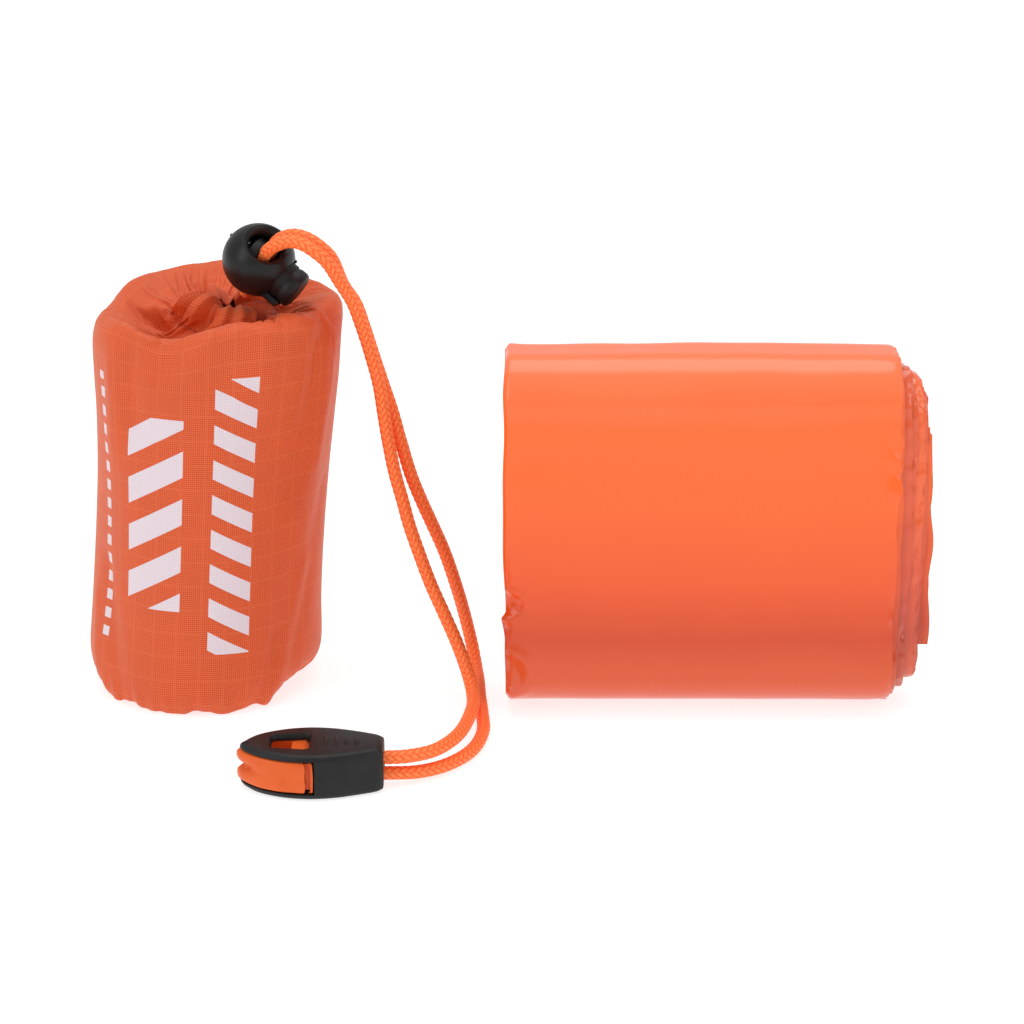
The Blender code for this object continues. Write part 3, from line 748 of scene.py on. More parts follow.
def spline_rows(controls, steps):
    """Rows through control rings (ring, column, 3), steps for each gap between two rings."""
    first = 2 * controls[0] - controls[1]
    last = 2 * controls[-1] - controls[-2]
    padded = np.concatenate([first[None], controls, last[None]])
    rows = []
    for k, count in enumerate(steps):
        rows.extend(spline(*padded[k : k + 4], i / count) for i in range(count))
    rows.append(controls[-1])
    return np.array(rows)


def grid_normals(points):
    """Outward normals of a closed tube of points."""
    up = np.gradient(points, axis=0)
    side = np.roll(points, -1, axis=1) - np.roll(points, 1, axis=1)
    normals = np.cross(side, up)
    return normals / np.maximum(np.linalg.norm(normals, axis=2), 1e-9)[..., None]


def rim_height(theta):
    """The rim dips over the deep fold at the front left and stands high at the back."""
    height = 105.6 + 3.4 * toward(theta, 95.0, 50.0) + 1.6 * toward(theta, -62.0, 34.0)
    height -= 3.4 * toward(theta, FOLD_ANGLE, 17.0) + 2.0 * toward(theta, 178.0, 36.0)
    return height + 0.5 * np.sin(5 * theta + 1.0)


def sack_surface():
    """The side panel's points, (row, column, 3) in metres, and where each is on the flat fabric."""
    phi = np.linspace(0.0, 2 * pi, COLUMNS, endpoint=False)
    rim = rim_height(phi)
    fold = toward(phi, FOLD_ANGLE, 15.0)
    hollow = toward(phi, -136.0, 30.0)
    lift = 4.2 * between(gap(phi, 0.0), -54.0, -36.0, 8.0, 50.0)
    lift += 3.0 * toward(phi, -178.0, 26.0) + 0.45 * np.sin(11 * phi) + 0.3 * np.sin(17 * phi + 2.0)
    controls = []
    depths = []
    for ring, (radius, height, from_rim, share, twist, depth) in enumerate(SACK_RINGS):
        level = height + rim * from_rim
        z = level
        theta = phi + radians(twist)
        r = np.full(COLUMNS, radius)
        if ring < 4:
            z = z + lift * (0.35, 0.7, 1.0, 0.6)[ring]
            r = r - lift * (0.3, 0.45, 0.35, 0.1)[ring]
        if 3 < ring < 11:
            r = r + 0.35 * np.sin(3 * phi + ring) + 0.22 * np.sin(7 * phi + 0.7 * ring)
        if 12 <= ring <= 14:
            z = z - fold * (1.0, 3.0, 2.0)[ring - 12] - hollow * (0.6, 5.6, 7.4)[ring - 12]
        if ring in (10, 11):
            r = r - fold * (0.4, 1.4)[ring - 10]
        if ring >= 15:
            z = z - toward(theta, -25.0, 52.0) * (0.0, 0.8, 2.4, 3.6, 3.0)[ring - 15]
            z = z - fold * (1.2, 0.6, 0.0, 0.0, 0.0)[ring - 15]
            z = z + 0.7 * np.sin(4 * phi + 1.0) * (ring - 15) / 3
        middle_x = (1.0 - share) * (LEAN[0] + LEAN[1] * level) + share * MOUTH.x / MM
        middle_y = share * MOUTH.y / MM
        controls.append(grid(middle_x + r * np.cos(theta), middle_y + r * np.sin(theta), z))
        depths.append(depth)
    steps = (3, 4, 6, 7, 9, 13, 13, 12, 10, 8, 6, 7, 9, 10, 10, 8, 9, 7, 6)
    points = spline_rows(np.array(controls), steps)
    depth = np.interp(np.arange(len(points)), np.concatenate([[0], np.cumsum(steps)]), depths)

    phase = PLEATS * phi + 1.3 * np.sin(2 * phi + 0.6) + 0.7 * np.sin(3 * phi + 2.1)
    wave = np.clip(1.3 * np.sin(phase), -1.0, 1.0) * (0.8 + 0.3 * np.sin(2 * phi + 2.5))
    wave = wave + 0.2 * np.sin(13 * phi + 1.3 * np.sin(phi + 1.0))
    points = points + grid_normals(points) * (depth[:, None] * wave[None, :])[..., None]
    points = points + grid_normals(points) * soft_creases(points, phi)[..., None]

    points[:, :, 2] = np.maximum(points[:, :, 2], 0.3)
    run = np.linalg.norm(np.diff(points, axis=0), axis=2).mean(axis=1)
    along = np.concatenate([[0.0], np.cumsum(run)])
    return points * MM, phi, along * MM


def settled(points, phi, along):
    """The surface with its top let settle on the roll and round the lock, as cloth as wide as the tube."""
    rows = np.arange(CLOTH_ROW, len(points), 2)
    start = points[rows] * CLOTH_SCALE
    thing = scratch("settling", grid_mesh("settling", start, around=True))
    thing.shape_key_add(name="Basis")
    rest = thing.shape_key_add(name="flat_tube")
    round_row = np.linalg.norm(np.roll(points[rows], -1, axis=1) - points[rows], axis=2).sum(axis=1)
    radius = np.minimum(TUBE_WIDTH, round_row * SLACK)[:, None] / (2 * pi)
    tube = grid(radius * np.cos(phi), radius * np.sin(phi), along[rows][:, None])
    rest.data.foreach_set("co", (tube * CLOTH_SCALE).reshape(-1).astype(np.float32))
    pinned = 1.0 - smoothstep(0.080, 0.094, points[rows][:, :, 2])
    mouth = np.clip((rows - MOUTH_ROW) / 8.0, 0.0, 1.0)
    pinned = np.maximum(pinned, mouth[:, None])
    group = thing.vertex_groups.new(name="pinned")
    for index, weight in enumerate(pinned.reshape(-1).tolist()):
        if weight > 0.01:
            group.add([index], weight, "REPLACE")

    cloth = thing.modifiers.new("cloth", "CLOTH")
    how = {
        "quality": 6, "mass": 0.15, "time_scale": 0.6, "air_damping": 3.0, "vertex_group_mass": "pinned",
        "tension_stiffness": 30.0, "compression_stiffness": 30.0, "shear_stiffness": 8.0,
        "bending_stiffness": BENDING, "tension_damping": 8.0, "compression_damping": 8.0,
        "shear_damping": 6.0, "bending_damping": 1.0,
    }
    for setting, value in how.items():
        setattr(cloth.settings, setting, value)
    cloth.settings.rest_shape_key = thing.data.shape_keys.key_blocks["flat_tube"]
    cloth.settings.effector_weights.gravity = 0.6
    touch = cloth.collision_settings
    touch.distance_min = 0.006
    touch.use_self_collision = True
    touch.self_distance_min = 0.005
    touch.self_friction = 3.0

    grow = Matrix.Scale(CLOTH_SCALE, 4)
    ball = [(0.0, 9.7)]
    ball.extend((9.7 * sin(a), 9.7 * cos(a)) for a in np.linspace(0.15, pi - 0.15, 16))
    ball.append((0.0, -9.7))
    plunger = ((0.0, 13.7), (5.3, 13.7), (5.3, -3.0), (0.0, -3.0))
    roll = ((0.0, 90.0), (18.0, 89.6), (24.0, 87.5), (28.0, 82.0), (29.5, 76.0), (29.5, 40.0), (0.0, 40.0))
    solids = (
        ("ball", ball, 32, Matrix.Translation(LOCK_CENTRE)),
        ("plunger", plunger, 24, frame_of(LOCK_CENTRE, PLUNGER_AXIS, HOLE_AXIS)),
        ("roll", roll, 48, Matrix.Translation((-77.6 * MM, 0.0, 0.0))),
    )
    obstacles = []
    for name, profile, steps, placement in solids:
        obstacle = scratch(name, turned_mesh(name, profile, steps), grow @ placement)
        obstacle.modifiers.new("solid", "COLLISION")
        obstacle.collision.thickness_outer = 0.004
        obstacles.append(obstacle)
    for number in range(1, CLOTH_FRAMES + 1):
        bpy.context.scene.frame_set(number)
    moved = thing.evaluated_get(bpy.context.evaluated_depsgraph_get())
    found = np.zeros(start.size, dtype=np.float32)
    moved.to_mesh().vertices.foreach_get("co", found)
    moved.to_mesh_clear()
    for helper in (thing, *obstacles):
        bpy.data.objects.remove(helper)
    bpy.context.scene.frame_set(1)
    top = spline_rows(found.reshape(start.shape) / CLOTH_SCALE, [2] * (len(rows) - 1))
    last = rows[-1] + 1
    return np.concatenate([points[:CLOTH_ROW], top, points[last:]])


CREASES = (  # angle and height of each end in degrees and mm, width in mm, depth in mm
    (-128.0, 103.0, -126.0, 80.0, 3.2, -1.1), (-136.0, 102.0, -140.0, 72.0, 3.5, 0.7),
    (-30.0, 104.0, -44.0, 60.0, 3.6, -0.8), (-18.0, 101.0, -26.0, 66.0, 3.0, 0.7),
    (-12.0, 60.0, -40.0, 14.0, 4.2, -0.7), (-28.0, 40.0, -52.0, 2.0, 3.0, 0.8),
    (-48.0, 22.0, -56.0, 1.0, 2.2, -0.9), (-150.0, 40.0, -132.0, 4.0, 3.4, -0.8),
    (-160.0, 30.0, -150.0, 3.0, 2.6, 0.6), (-86.0, 104.0, -80.0, 92.0, 2.6, -0.5),
    (-64.0, 106.0, -60.0, 88.0, 2.6, 0.4), (10.0, 98.0, 18.0, 50.0, 4.0, -0.8),
    (35.0, 92.0, 25.0, 30.0, 4.5, 0.8), (62.0, 100.0, 70.0, 62.0, 3.5, -0.9),
    (120.0, 100.0, 112.0, 55.0, 3.8, -0.9), (140.0, 60.0, 155.0, 12.0, 4.2, 0.8),
    (165.0, 98.0, 172.0, 48.0, 3.6, -0.9), (70.0, 30.0, 84.0, 3.0, 3.0, -0.7),
)


def soft_creases(points, phi):
    """Long shallow folds pressed into the side, and a pucker every few stitches along the base seam."""
    z = points[:, :, 2]
    total = np.zeros_like(z)
    for from_angle, from_z, to_angle, to_z, width, depth in CREASES:
        share = np.clip((from_z - z) / (from_z - to_z), 0.0, 1.0)
        middle = from_angle + (to_angle - from_angle) * share
        away = gap(phi[None, :], 0.0) - middle
        away = ((away + 180.0) % 360.0 - 180.0) * pi / 180.0 * 32.0
        inside = between(z, to_z - 9.0, to_z + 3.0, from_z - 3.0, from_z + 4.0)
        total += depth * bell(away, width) * inside
    low = bell(z - 3.0, 3.2)
    total += 0.28 * low * np.sin(38 * phi + 2.0 * np.sin(3 * phi))[None, :]
    ripple = toward(phi, 90.0, 7.0) * np.sin(z / 1.35)
    return total + (0.14 * ripple - 0.8 * toward(phi, 90.0, 2.0)) * between(z, 4.0, 9.0, 98.0, 103.0)


PRINT_COLUMNS = (  # angle of its middle, slant, and in mm: width, lowest and highest point, pitch of the bars
    (-75.0, 0.55, 11.4, 21.0, 97.0, 9.6), (-114.0, -0.55, 16.8, 33.0, 86.0, 13.2),
    (-147.0, 0.0, 2.6, 21.0, 96.0, 5.2),
)
INKED = 0.55  # share of the pitch that a bar takes up
THREAD = 0.56 * MM  # from one thread to the next
FABRIC = 0.2 * MM
HEM_FABRIC = 0.16 * MM
HEM_INSIDE = 0.24 * MM  # how far in from the side panel's outside the hem's second layer lies
BASE_FABRIC = 0.32 * MM
BASE_HEIGHT = 0.75 * MM  # of the base panel's middle, before the whole panel is lifted
BASE_LIFT = 0.3 * MM
GRID = 12  # threads between two of the heavier ones
STITCH_REACH = 0.42  # half of a stitch, for a distance of 1 between two points


def ripstop():
    """Orange ripstop: a plain weave, a heavier thread every twelfth one, and pale printed bars."""
    gloss = {"Sheen_Weight": 0.18, "Sheen_Roughness": 0.35, "Sheen_Tint": (1.0, 0.6, 0.42, 1.0)}
    made, tree, surface = material("ripstop", (0.75, 0.12, 0.02), 0.55, **gloss)
    flat = node(tree, "UVMap", uv_map="flat").outputs[0]
    u, v, _ = node(tree, "SeparateXYZ", [flat]).outputs
    x = maths(tree, "DIVIDE", u, THREAD)
    y = maths(tree, "DIVIDE", v, THREAD)

    def crown(value):
        return maths(tree, "ABSOLUTE", maths(tree, "SINE", times(tree, value, pi)))

    def heavy(value):
        return maths(tree, "SUBTRACT", 1.0, maths(tree, "PINGPONG", value, GRID / 2), clamp=True)

    cell = maths(tree, "ADD", maths(tree, "FLOOR", x), maths(tree, "FLOOR", y))
    checker = maths(tree, "ABSOLUTE", maths(tree, "MODULO", cell, 2.0))
    warp = times(tree, crown(x), scaled(tree, crown(y), 0.5, 0.5))
    weft = times(tree, crown(y), scaled(tree, crown(x), 0.5, 0.5))
    weave = node(tree, "Mix", {0: checker, 2: warp, 3: weft}, data_type="FLOAT").outputs[0]
    lines = maths(tree, "MAXIMUM", heavy(x), heavy(y))
    cloud = noise(tree, place_of(tree), 90.0, 4.0)
    uneven = noise(tree, flat, 2600.0, 2.0)
    tones = ((0.15, (0.66, 0.045, 0.004)), (0.6, (0.86, 0.105, 0.01)), (1.0, (1.0, 0.2, 0.04)))
    colour = blend_colours(tree, times(tree, lines, 0.3), ramp(tree, weave, *tones), (0.9, 0.17, 0.045))
    tone = maths(tree, "ADD", scaled(tree, cloud, 0.14, 0.7), times(tree, uneven, 0.14))
    ink = times(tree, printed_bars(tree, u, v), scaled(tree, weave, 0.35, 0.72), clamp=True)
    wire(surface, Base_Color=blend_colours(tree, ink, shade(tree, colour, tone), (0.78, 0.72, 0.78)),
         Roughness=scaled(tree, cloud, 0.2, 0.45))
    bump(tree, surface, scaled(tree, lines, 0.45, weave), 0.07 * MM, 0.8)
    return made


def printed_bars(tree, u, v):
    """Columns of slanted bars, 1 where printed."""
    total = 0.0
    for angle, slant, *sizes in PRINT_COLUMNS:
        width, lowest, highest, pitch = (size * MM for size in sizes)
        middle = (angle % 360.0) / 360.0 * TUBE_WIDTH
        off = maths(tree, "SUBTRACT", u, middle)
        inside = maths(tree, "LESS_THAN", maths(tree, "ABSOLUTE", off), width / 2)
        above = maths(tree, "GREATER_THAN", v, lowest)
        below = maths(tree, "LESS_THAN", v, highest)
        along = maths(tree, "DIVIDE", scaled(tree, off, slant, v), pitch)
        bar = maths(tree, "LESS_THAN", maths(tree, "FRACT", along), INKED)
        column = times(tree, times(tree, inside, bar), times(tree, above, below))
        total = maths(tree, "ADD", total, column)
    return maths(tree, "MINIMUM", total, 1.0)


def plain_weave(name):
    """The same fabric's inside, with no print, for the hem and the base."""
    made, tree, surface = material(name, (0.62, 0.075, 0.014), 0.6, Sheen_Weight=0.3)
    where = place_of(tree)
    ways = [node(tree, "TexWave", {"Vector": where, "Scale": 520.0, "Distortion": 0.6}, bands_direction=axis)
            for axis in "ZX"]
    weave = times(tree, *(way.outputs["Fac"] for way in ways))
    wire(surface, Base_Color=ramp(tree, weave, (0.1, (0.52, 0.05, 0.008)), (0.8, (0.78, 0.12, 0.024))))
    bump(tree, surface, weave, 0.05 * MM, 0.7)
    return made


def stitches(name, points, colour, node_name=None, radius=0.16):
    """Thread of the sack in short raised stitches, one between every two of the points given."""
    thread, tree, surface = material(name + "_thread", colour, 0.6, Sheen_Weight=0.3)
    plies = {"Vector": place_of(tree), "Scale": 900.0}
    twist = node(tree, "TexWave", plies, bands_direction="DIAGONAL").outputs["Fac"]
    wire(surface, Base_Color=ramp(tree, twist, (0.2, [0.5 * c for c in colour]), (0.8, colour)))
    bump(tree, surface, twist, 0.03 * MM)
    shape = bmesh.new()
    for a, b in zip(points[:-1], points[1:]):
        start, end = Vector(a), Vector(b)
        way = end - start
        if way.length < 1e-6:
            continue
        turn = way.to_track_quat("X", "Z").to_matrix().to_4x4()
        size = Matrix.Diagonal((way.length * STITCH_REACH, radius * MM, radius * MM, 1.0))
        bmesh.ops.create_icosphere(shape, subdivisions=2, radius=1.0,
                                   matrix=Matrix.Translation((start + end) / 2) @ turn @ size)
    mesh = bpy.data.meshes.new(name)
    shape.to_mesh(mesh)
    shape.free()
    mesh.shade_smooth()
    mesh.materials.append(thread)
    nodes = (node_name,) if node_name else ()
    piece(name, mesh, "stuff_sack", "seam_thread", *nodes)


def thickened(mesh, thickness, offset, look):
    """A wall from a surface: all of it against the normals with an offset of -1, half on each side with 0."""
    thing = scratch(mesh.name, mesh)
    wall = thing.modifiers.new("wall", "SOLIDIFY")
    wall.thickness = thickness
    wall.offset = offset
    wall.use_even_offset = False
    made = baked(thing)
    made.shade_smooth()
    made.materials.append(look)
    return made


def stuff_sack():
    points, phi, along = sack_surface()
    points = settled(points, phi, along)
    rows = len(points)
    uv = grid(np.linspace(0.0, TUBE_WIDTH, COLUMNS + 1), along[:, None])
    mesh = grid_mesh("sack_side_cloth", points, around=True, uv=uv)
    mesh = thickened(mesh, FABRIC, -1.0, ripstop())
    cloth = piece("sack_side_cloth", mesh, "stuff_sack", "sack_ripstop", "sack_side_panel")

    normals = grid_normals(points)
    hem = points[-HEM_ROWS:-8] - normals[-HEM_ROWS:-8] * HEM_INSIDE
    mesh = grid_mesh("mouth_hem_cloth", hem, around=True)
    mesh = thickened(mesh, HEM_FABRIC, -1.0, plain_weave("hem_weave"))
    piece("mouth_hem_cloth", mesh, "stuff_sack", "hem_ripstop", "mouth_hem_channel")
    line = points[-HEM_ROWS + 4] + normals[-HEM_ROWS + 4] * 0.1 * MM
    stitches("hem_stitching", [*line[::3], line[0]], (0.5, 0.05, 0.012))

    # base panel, a disc sewn inside the tube's bottom edge
    shares = np.linspace(0.0, 1.0, 18)[1:]
    edge = points[1]
    middle = edge.mean(axis=0)
    middle[2] = BASE_HEIGHT
    disc = middle + (edge - middle) * shares[:, None, None]
    disc[:, :, 2] += BASE_LIFT
    disc[:, :, 2] += 0.16 * MM * np.sin(9 * phi + 1.0) * (shares**2 * (1 - shares) * 4)[:, None]
    base = grid_mesh("sack_base_cloth", disc, around=True, ends=True, flip=True)
    base = thickened(base, BASE_FABRIC, -1.0, plain_weave("base_weave"))
    piece("sack_base_cloth", base, "stuff_sack", "sack_ripstop", "sack_base_panel")

    # overlocked seam allowances inside the sack, along the base and up the back
    overlock = (0.62, 0.09, 0.02)
    zigzag = [points[4 if i % 4 else 7][i] - normals[4][i] * 0.9 * MM for i in range(0, COLUMNS, 2)]
    stitches("base_overlock_stitching", [*zigzag, zigzag[0]], overlock, "base_seam_overlock", 0.22)
    back = COLUMNS // 4
    upright = [points[row][back + (3 if row % 2 else -3)] - normals[row][back] * 1.3 * MM
               for row in range(12, rows - HEM_ROWS - 22)]
    stitches("side_overlock_stitching", upright, overlock, "side_seam_overlock", 0.22)


ROLL_TURNS = 9
ROLL_HEIGHT = 88.5
ROLL_FILM = 0.15 * MM


def packed_roll(film):
    """The second bivy inside the sack: one long sheet wound into a roll."""
    steps = 90
    angle = np.linspace(0.0, 2 * pi * ROLL_TURNS, ROLL_TURNS * steps)
    radius = 3.0 + 24.2 * angle / angle[-1]
    rows = []
    for share in np.linspace(0.0, 1.0, 22):
        z = 2.4 + ROLL_HEIGHT * share
        top = smoothstep(0.86, 1.0, share) * 3.4 + (1.0 - smoothstep(0.0, 0.1, share)) * 3.2
        r = np.maximum(radius - top * radius / 27.0, 1.0) + 0.18 * np.sin(6 * angle + 9.0 * share)
        r = r + 0.15 * np.sin(17.0 * share + 2 * angle)
        middle = LEAN[0] + LEAN[1] * z
        height = z + 1.2 * np.sin(angle * 0.37) * (share - 0.5) * 2
        rows.append(grid(middle + r * np.cos(angle), r * np.sin(angle), height))
    points = np.array(rows) * MM
    mesh = thickened(grid_mesh("packed_film_roll", points), ROLL_FILM, 0.0, film)
    roll = piece("packed_film_roll", mesh, "stuff_sack", "film", "packed_bivy_roll")


# colour up the film by height with painted light: a pale painted reflection at the foot, a band of painted
# shade above it, bright orange higher up and a pale painted highlight at the top
FILM_PAINTED_LIGHT_TONES = (
    (0.0, (0.72, 0.11, 0.05)), (0.12, (0.72, 0.1, 0.028)), (0.2, (0.71, 0.085, 0.014)),
    (0.27, (0.66, 0.056, 0.003)), (0.42, (0.86, 0.09, 0.006)), (0.62, (0.96, 0.128, 0.008)),
    (0.84, (1.0, 0.14, 0.012)), (0.97, (1.0, 0.19, 0.065)),
)


def film_material(name, depth=1.0, smooth=0.19, crinkle=0.35, coat=0.15):
    """Glossy orange film with fine stretch lines and small dents, its colour painted by height in bands of
    painted reflection, painted shade and painted highlight. A depth under 1 is a deeper, redder one, painted
    shade for the inner wraps.
    """
    # a depth under 1 deepens and reddens every stop of the ramp: painted shade
    tones = [(at, (c[0] * depth**0.7, c[1] * depth**1.6, c[2] * depth**1.6)) for at, c in FILM_PAINTED_LIGHT_TONES]
    made, tree, surface = material(name, tones[4][1], 0.24, Coat_Weight=coat, Coat_Roughness=0.12)
    where = place_of(tree)
    cloud = noise(tree, where, 26.0, 3.0)
    # painted light: the colour ramp runs up the piece's height, giving bands of painted reflection, painted
    # shade and painted highlight
    height = node(tree, "SeparateXYZ", [where]).outputs[2]
    height = scaled(tree, scaled(tree, cloud, 0.008, height), 10.0, -0.003)
    wire(surface, Base_Color=ramp(tree, height, *tones),
         Roughness=scaled(tree, noise(tree, where, 160.0, 3.0), 0.08, smooth))
    stretch = node(tree, "Mapping", {"Vector": where, "Scale": (60.0, 60.0, 260.0)}, vector_type="POINT")
    streaks = noise(tree, stretch.outputs[0], 1.0, 4.0, 0.55)
    bump(tree, surface, scaled(tree, noise(tree, where, 420.0, 2.0), 0.25, streaks), 0.12 * MM, crinkle)
    return made


# ---------------------------------------------------------------- folded bivy

BIVY_LOW, BIVY_HIGH = (Vector(corner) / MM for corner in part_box("bivy_wrap_outer"))
BIVY_LEFT = BIVY_LOW.x
BIVY_MIDDLE = (BIVY_LOW.y + BIVY_HIGH.y) / 2
BIVY_HALF = (BIVY_HIGH.y - BIVY_LOW.y) / 2
BIVY_TOP = BIVY_HIGH.z
AROUND = 240  # points once round the folded film
SHARE_ACROSS = 64  # points along the folds
PINCHES = 12  # in each turn, at its right end
FILM = 0.16 * MM  # thickness that stands for one layer
TAIL_FILM = 0.14 * MM
# name, CAD node, first depth, depth of one turn, turns, how far the left and right edges are from the CAD
# wrap's left side, and how much further right the edge is after each turn
WRAPS = (
    ("bivy_film_outer", "bivy_wrap_outer", 0.1, 1.25, 3, 0.0, 101.6, 0.55),
    ("bivy_film_second", "bivy_wrap_second", 4.3, 0.9, 2, 0.9, 105.2, 0.7),
    ("bivy_film_third", "bivy_wrap_third", 6.4, 0.95, 3, 1.7, 107.9, 0.5),
    ("bivy_film_fourth", "bivy_wrap_fourth", 9.5, 0.95, 3, 2.6, 109.6, 0.3),
)


def wrap_section(depth, share):
    """(y, z) of the folded film at a share of the way round it, from the middle of the back over the top.
    depth is how far in from the outermost layer it lies, in mm; both may be arrays."""
    half = np.maximum(BIVY_HALF - depth, 0.7)
    upper = np.minimum(half, np.maximum(12.0 - 0.62 * depth, 1.2))
    lower = np.minimum(half, np.maximum(15.5 - 0.55 * depth, 1.2))
    top = BIVY_TOP - depth * 1.02
    bottom = depth * 0.98
    high, low = top - upper, bottom + lower
    side = high - low
    # for each corner: its arc's middle and radius, and how long the straight run up to it is
    corners = (
        (half - upper, high, upper, side / 2), (upper - half, high, upper, 2 * (half - upper)),
        (lower - half, low, lower, side), (half - lower, low, lower, 2 * (half - lower)),
    )
    at = share * sum(straight + pi / 2 * radius for _, _, radius, straight in corners) + share * side / 2
    y = half + 0.0 * at
    z = (high + low) / 2 + at
    begun = 0.0 * at
    for k, (middle_y, middle_z, radius, straight) in enumerate(corners):
        begun = begun + straight
        reached = at >= begun
        turned = np.clip((at - begun) / np.maximum(radius, 1e-6), 0.0, pi / 2) + pi / 2 * k
        begun = begun + pi / 2 * radius
        beyond = np.maximum(at - begun, 0.0)
        y = np.where(reached, middle_y + radius * np.cos(turned) - beyond * cos(pi / 2 * k), y)
        z = np.where(reached, middle_z + radius * np.sin(turned) - beyond * sin(pi / 2 * k), z)
    return y, z


def soft_noise(u, v, seed, scales=((1.0, 1.0), (2.3, 0.5), (4.9, 0.25))):
    """Smooth repeatable waves over a sheet, about -1 to 1, from u and v in radians."""
    total = np.zeros(np.broadcast(u, v).shape)
    draw = np.random.default_rng(seed)
    for scale, size in scales:
        for _ in range(4):
            a, b = draw.normal(0.0, 1.0, 2) * scale
            total = total + size * 0.5 * np.sin(a * u + b * v + draw.uniform(0.0, 2 * pi))
    return total


# crumples at the left edge: height, half-height, how far in, rim and hollow in mm, and softness of the rim
POCKETS = (
    (32.7, 4.3, 4.9, 0.9, 1.4, 0.2), (12.6, 7.0, 6.6, 0.6, 0.9, 0.22), (9.4, 0.9, 2.2, 0.5, -0.4, 0.5),
    (25.6, 2.2, 2.0, 0.0, 0.7, 0.3),
)


def front_bulge(z):
    """How far the front stands out at a height: fullest halfway up, leaning back above and tucked in below,
    with a foot that stands out again under a pressed line."""
    return (0.9 - 3.0 * smoothstep(50.0, 100.0, z) - 1.6 * (1.0 - smoothstep(25.0, 47.0, z))
            + 1.5 * np.clip((24.0 - z) / 14.0, 0.0, 1.0))


def wrap_surface(name, first, pitch, turns, left, right, step, seed):
    """One wrap of several turns of film, wound inwards, its right edge further out with each turn."""
    count = AROUND * turns
    turn = np.linspace(0.0, turns, count + 1)
    depth = first + pitch * turn
    y, z = wrap_section(depth, turn % 1.0)
    share = np.linspace(0.0, 1.0, SHARE_ACROSS)
    across = 0.5 - 0.5 * np.cos(pi * share) * (0.75 + 0.25 * np.cos(pi * share) ** 2)
    u = 2 * pi * turn[:, None]
    v = 2 * pi * across[None, :]

    starts = left + 0.16 * soft_noise(3.0 * u, 0 * v, seed) + 0.4 * turn[:, None]
    ends = right + step * turn[:, None] + 0.42 * soft_noise(1.6 * u, 0 * v, seed + 1)
    ends = ends - 1.1 * smoothstep(70.0, 96.0, z)[:, None] * (name != "bivy_film_outer")
    x = starts + (ends - starts) * across[None, :]

    # outward direction of the section
    dy = np.gradient(y)
    dz = np.gradient(z)
    size = np.maximum(np.hypot(dy, dz), 1e-6)
    out_y = -dz / size
    out_z = dy / size
    flip = np.sign((out_y * y + out_z * (z - BIVY_TOP / 2)).mean())
    out_y, out_z = out_y * flip, out_z * flip

    ease = 1.0 - smoothstep(0.0, 1.0, depth / 14.0) * 0.4
    lift = 0.16 * ease[:, None] * soft_noise(3.0 * u, 0.9 * v, seed + 2)
    edge = bell(ends - x, 3.0) + 0.55 * bell(x - starts, 2.2)
    lift = lift + 0.30 * edge * soft_noise(9.0 * u, 1.5 * v, seed + 3)
    lift = lift + 0.2 * bell(ends - x, 1.1) * np.sin(23.0 * u + 2.0 * np.sin(5 * u))
    draw = np.random.default_rng(seed + 8)
    for _ in range(PINCHES * turns):
        pinch = bell(turn - draw.uniform(0.0, turns), draw.uniform(0.006, 0.016))[:, None]
        near_end = bell(ends - x, draw.uniform(1.2, 3.2))
        lift = lift + draw.uniform(-0.8, 1.1) * pinch * near_end
        x = x + draw.uniform(-0.8, 0.7) * pinch * near_end
    lift = lift - 0.4 * bell(ends - x, 0.8) - 1.5 * (1.0 - smoothstep(0.0, 1.7, x - starts)) ** 2
    front = (y < 0.0)[:, None]
    lift = lift + (np.clip(-out_y, 0.0, 1.0) * front_bulge(z))[:, None]
    if name == "bivy_film_outer":
        for height, tall, wide, rim, hollow, soft in POCKETS:
            off = np.sqrt(((z[:, None] - height) / tall) ** 2 + ((x - starts) / wide) ** 2)
            pocket = rim * bell(off - 1.0, soft) - hollow * (1.0 - smoothstep(0.45, 1.0, off))
            lift = lift + pocket * front
        x = x - 1.1 * between(z, 22.0, 28.6, 28.6, 29.6)[:, None] * bell(x - starts, 2.5) * front
        x = x - 0.5 * bell(z[:, None] - 60.0, 26.0) * bell(x - starts, 3.0) * front
    above_floor = np.maximum(z[:, None] + lift * out_z[:, None], 0.12)
    return grid(x, BIVY_MIDDLE + y[:, None] + lift * out_y[:, None], above_floor) * MM


def film_piece(name, points, thickness, film, body, held, *nodes):
    """A sheet of film from a grid of points."""
    mesh = thickened(grid_mesh(name, points), thickness, 0.0, film)
    thing = piece(name, mesh, body, "film", *nodes)


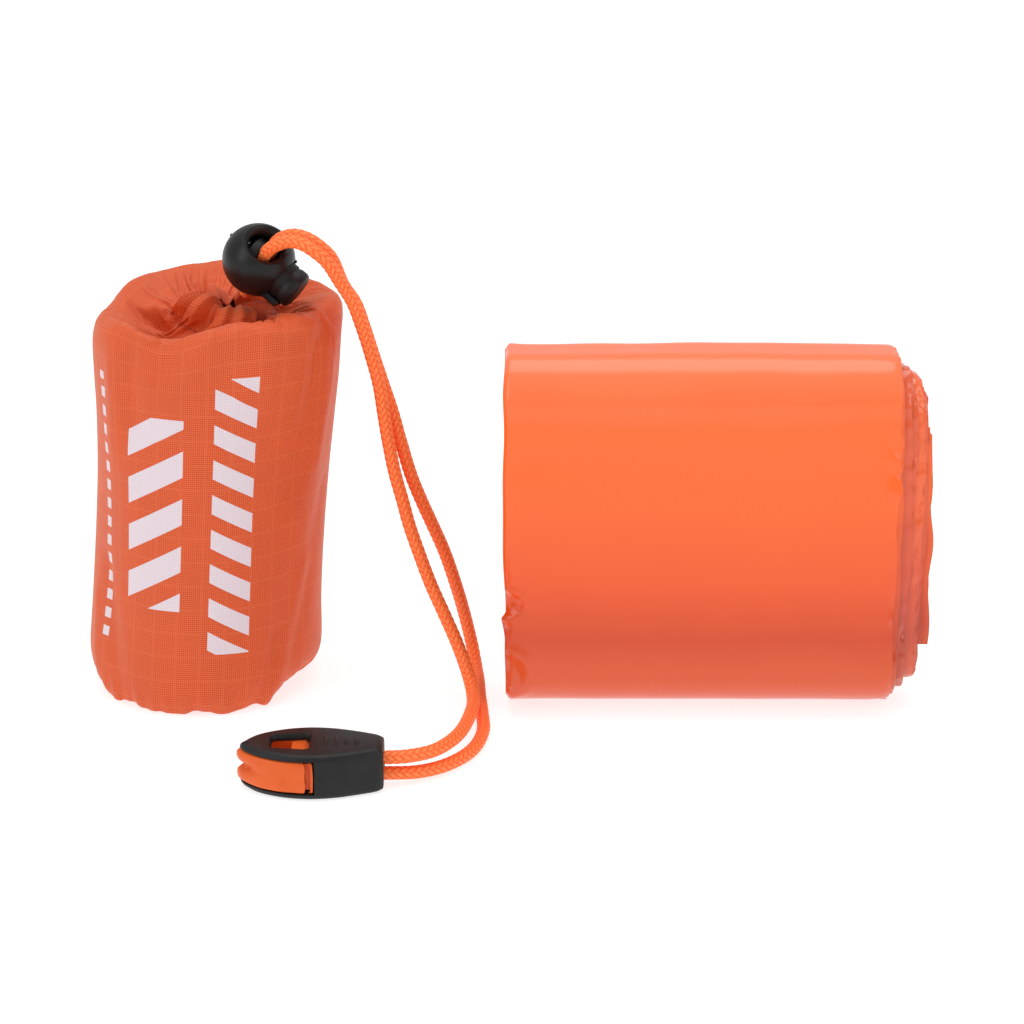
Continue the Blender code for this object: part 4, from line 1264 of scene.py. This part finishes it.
def core_surface():
    """The innermost part of the film, folded to and fro in a flat stack."""
    low, high = (Vector(corner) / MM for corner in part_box("bivy_core_fold"))
    folds = 7
    rows = []
    for i in range(folds):
        y = BIVY_MIDDLE - 3.0 + 6.0 * i / (folds - 1)
        heights = np.linspace(low.z + 0.8, high.z - 0.8, 40)
        if i % 2:
            heights = heights[::-1]
        rows.extend((y, z) for z in heights)
        if i < folds - 1:
            end = heights[-1]
            way = 1.0 if end > 40 else -1.0
            rows.extend((y + 0.5 - 0.5 * cos(a), end + way * 0.5 * sin(a)) for a in (0.8, 1.57, 2.3))
    section = np.array(rows)
    share = np.linspace(0.0, 1.0, 70)[None, :]
    u = np.linspace(0.0, 2 * pi * folds, len(section))[:, None]
    right = high.x - 1.4 + 0.7 * soft_noise(0.7 * u, 0 * share, 51)
    right = right - 0.9 * smoothstep(60.0, 76.0, section[:, 1:])
    left = low.x + 0.4 * soft_noise(0.7 * u, 0 * share, 52)
    y = section[:, :1] + 0.14 * soft_noise(0.8 * u, 2 * pi * share, 53)
    return grid(left + (right - left) * share, y, section[:, 1:] + 0.25 * np.sin(9.0 * share + 0.4 * u)) * MM


def tail_flap(film):
    """The film's free end, lying down the back and peeling off it along its top edge."""
    low, high = (Vector(corner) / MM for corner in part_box("bivy_tail_flap"))
    share = np.linspace(0.0, 1.0, 64)[None, :]
    down = np.linspace(0.0, 1.0, 40)[:, None]
    u, v = 2 * pi * down, 2 * pi * share
    x = low.x + (high.x - low.x) * share + 0.25 * soft_noise(2 * u, 0 * v, 61)
    y = (low.y + high.y) / 2 + 0.22 * soft_noise(1.5 * u, 1.5 * v, 62) * down + 0.1 + 0.35 * down**3
    z = high.z + (low.z - high.z) * down + 0.35 * soft_noise(0.5 * u, 2 * v, 63) * down
    film_piece("bivy_film_tail", grid(x, y, z) * MM, TAIL_FILM, film, "film_tail", "laid", "bivy_tail_flap")


def folded_bivy(film):
    looks = [film]
    # the inner wraps get deeper, redder film: painted shade in the gaps between the layers
    for word, depth, smooth in (("second", 0.78, 0.1), ("third", 0.95, 0.06), ("fourth", 0.82, 0.06)):
        looks.append(film_material("painted_shade_inner_film_" + word, depth, smooth, 1.0, 0.6))
    for number, (name, cad_node, first, pitch, turns, left, right, step) in enumerate(WRAPS):
        edges = (BIVY_LEFT + left, BIVY_LEFT + right)
        points = wrap_surface(name, first, pitch, turns, *edges, step, 10 * number + 3)
        film_piece(name, points, FILM, looks[number], "folded_bivy", "folded", cad_node)
    film_piece("bivy_film_core", core_surface(), FILM, film, "folded_bivy", "folded", "bivy_core_fold")
    tail_flap(film)


# ---------------------------------------------------------------- finish

camera()
studio()
bpy.context.scene.view_settings.view_transform = "Standard"
orange_braid = braid_material()
lock()
whistle()
knot(orange_braid)
strand("front", -1, FRONT_ROUTE, STRAND_HEIGHTS[0], orange_braid)
strand("rear", 1, REAR_ROUTE, STRAND_HEIGHTS[1], orange_braid)
drawcord(orange_braid)
orange_film = film_material("orange_film")
packed_roll(orange_film)
stuff_sack()
folded_bivy(orange_film)
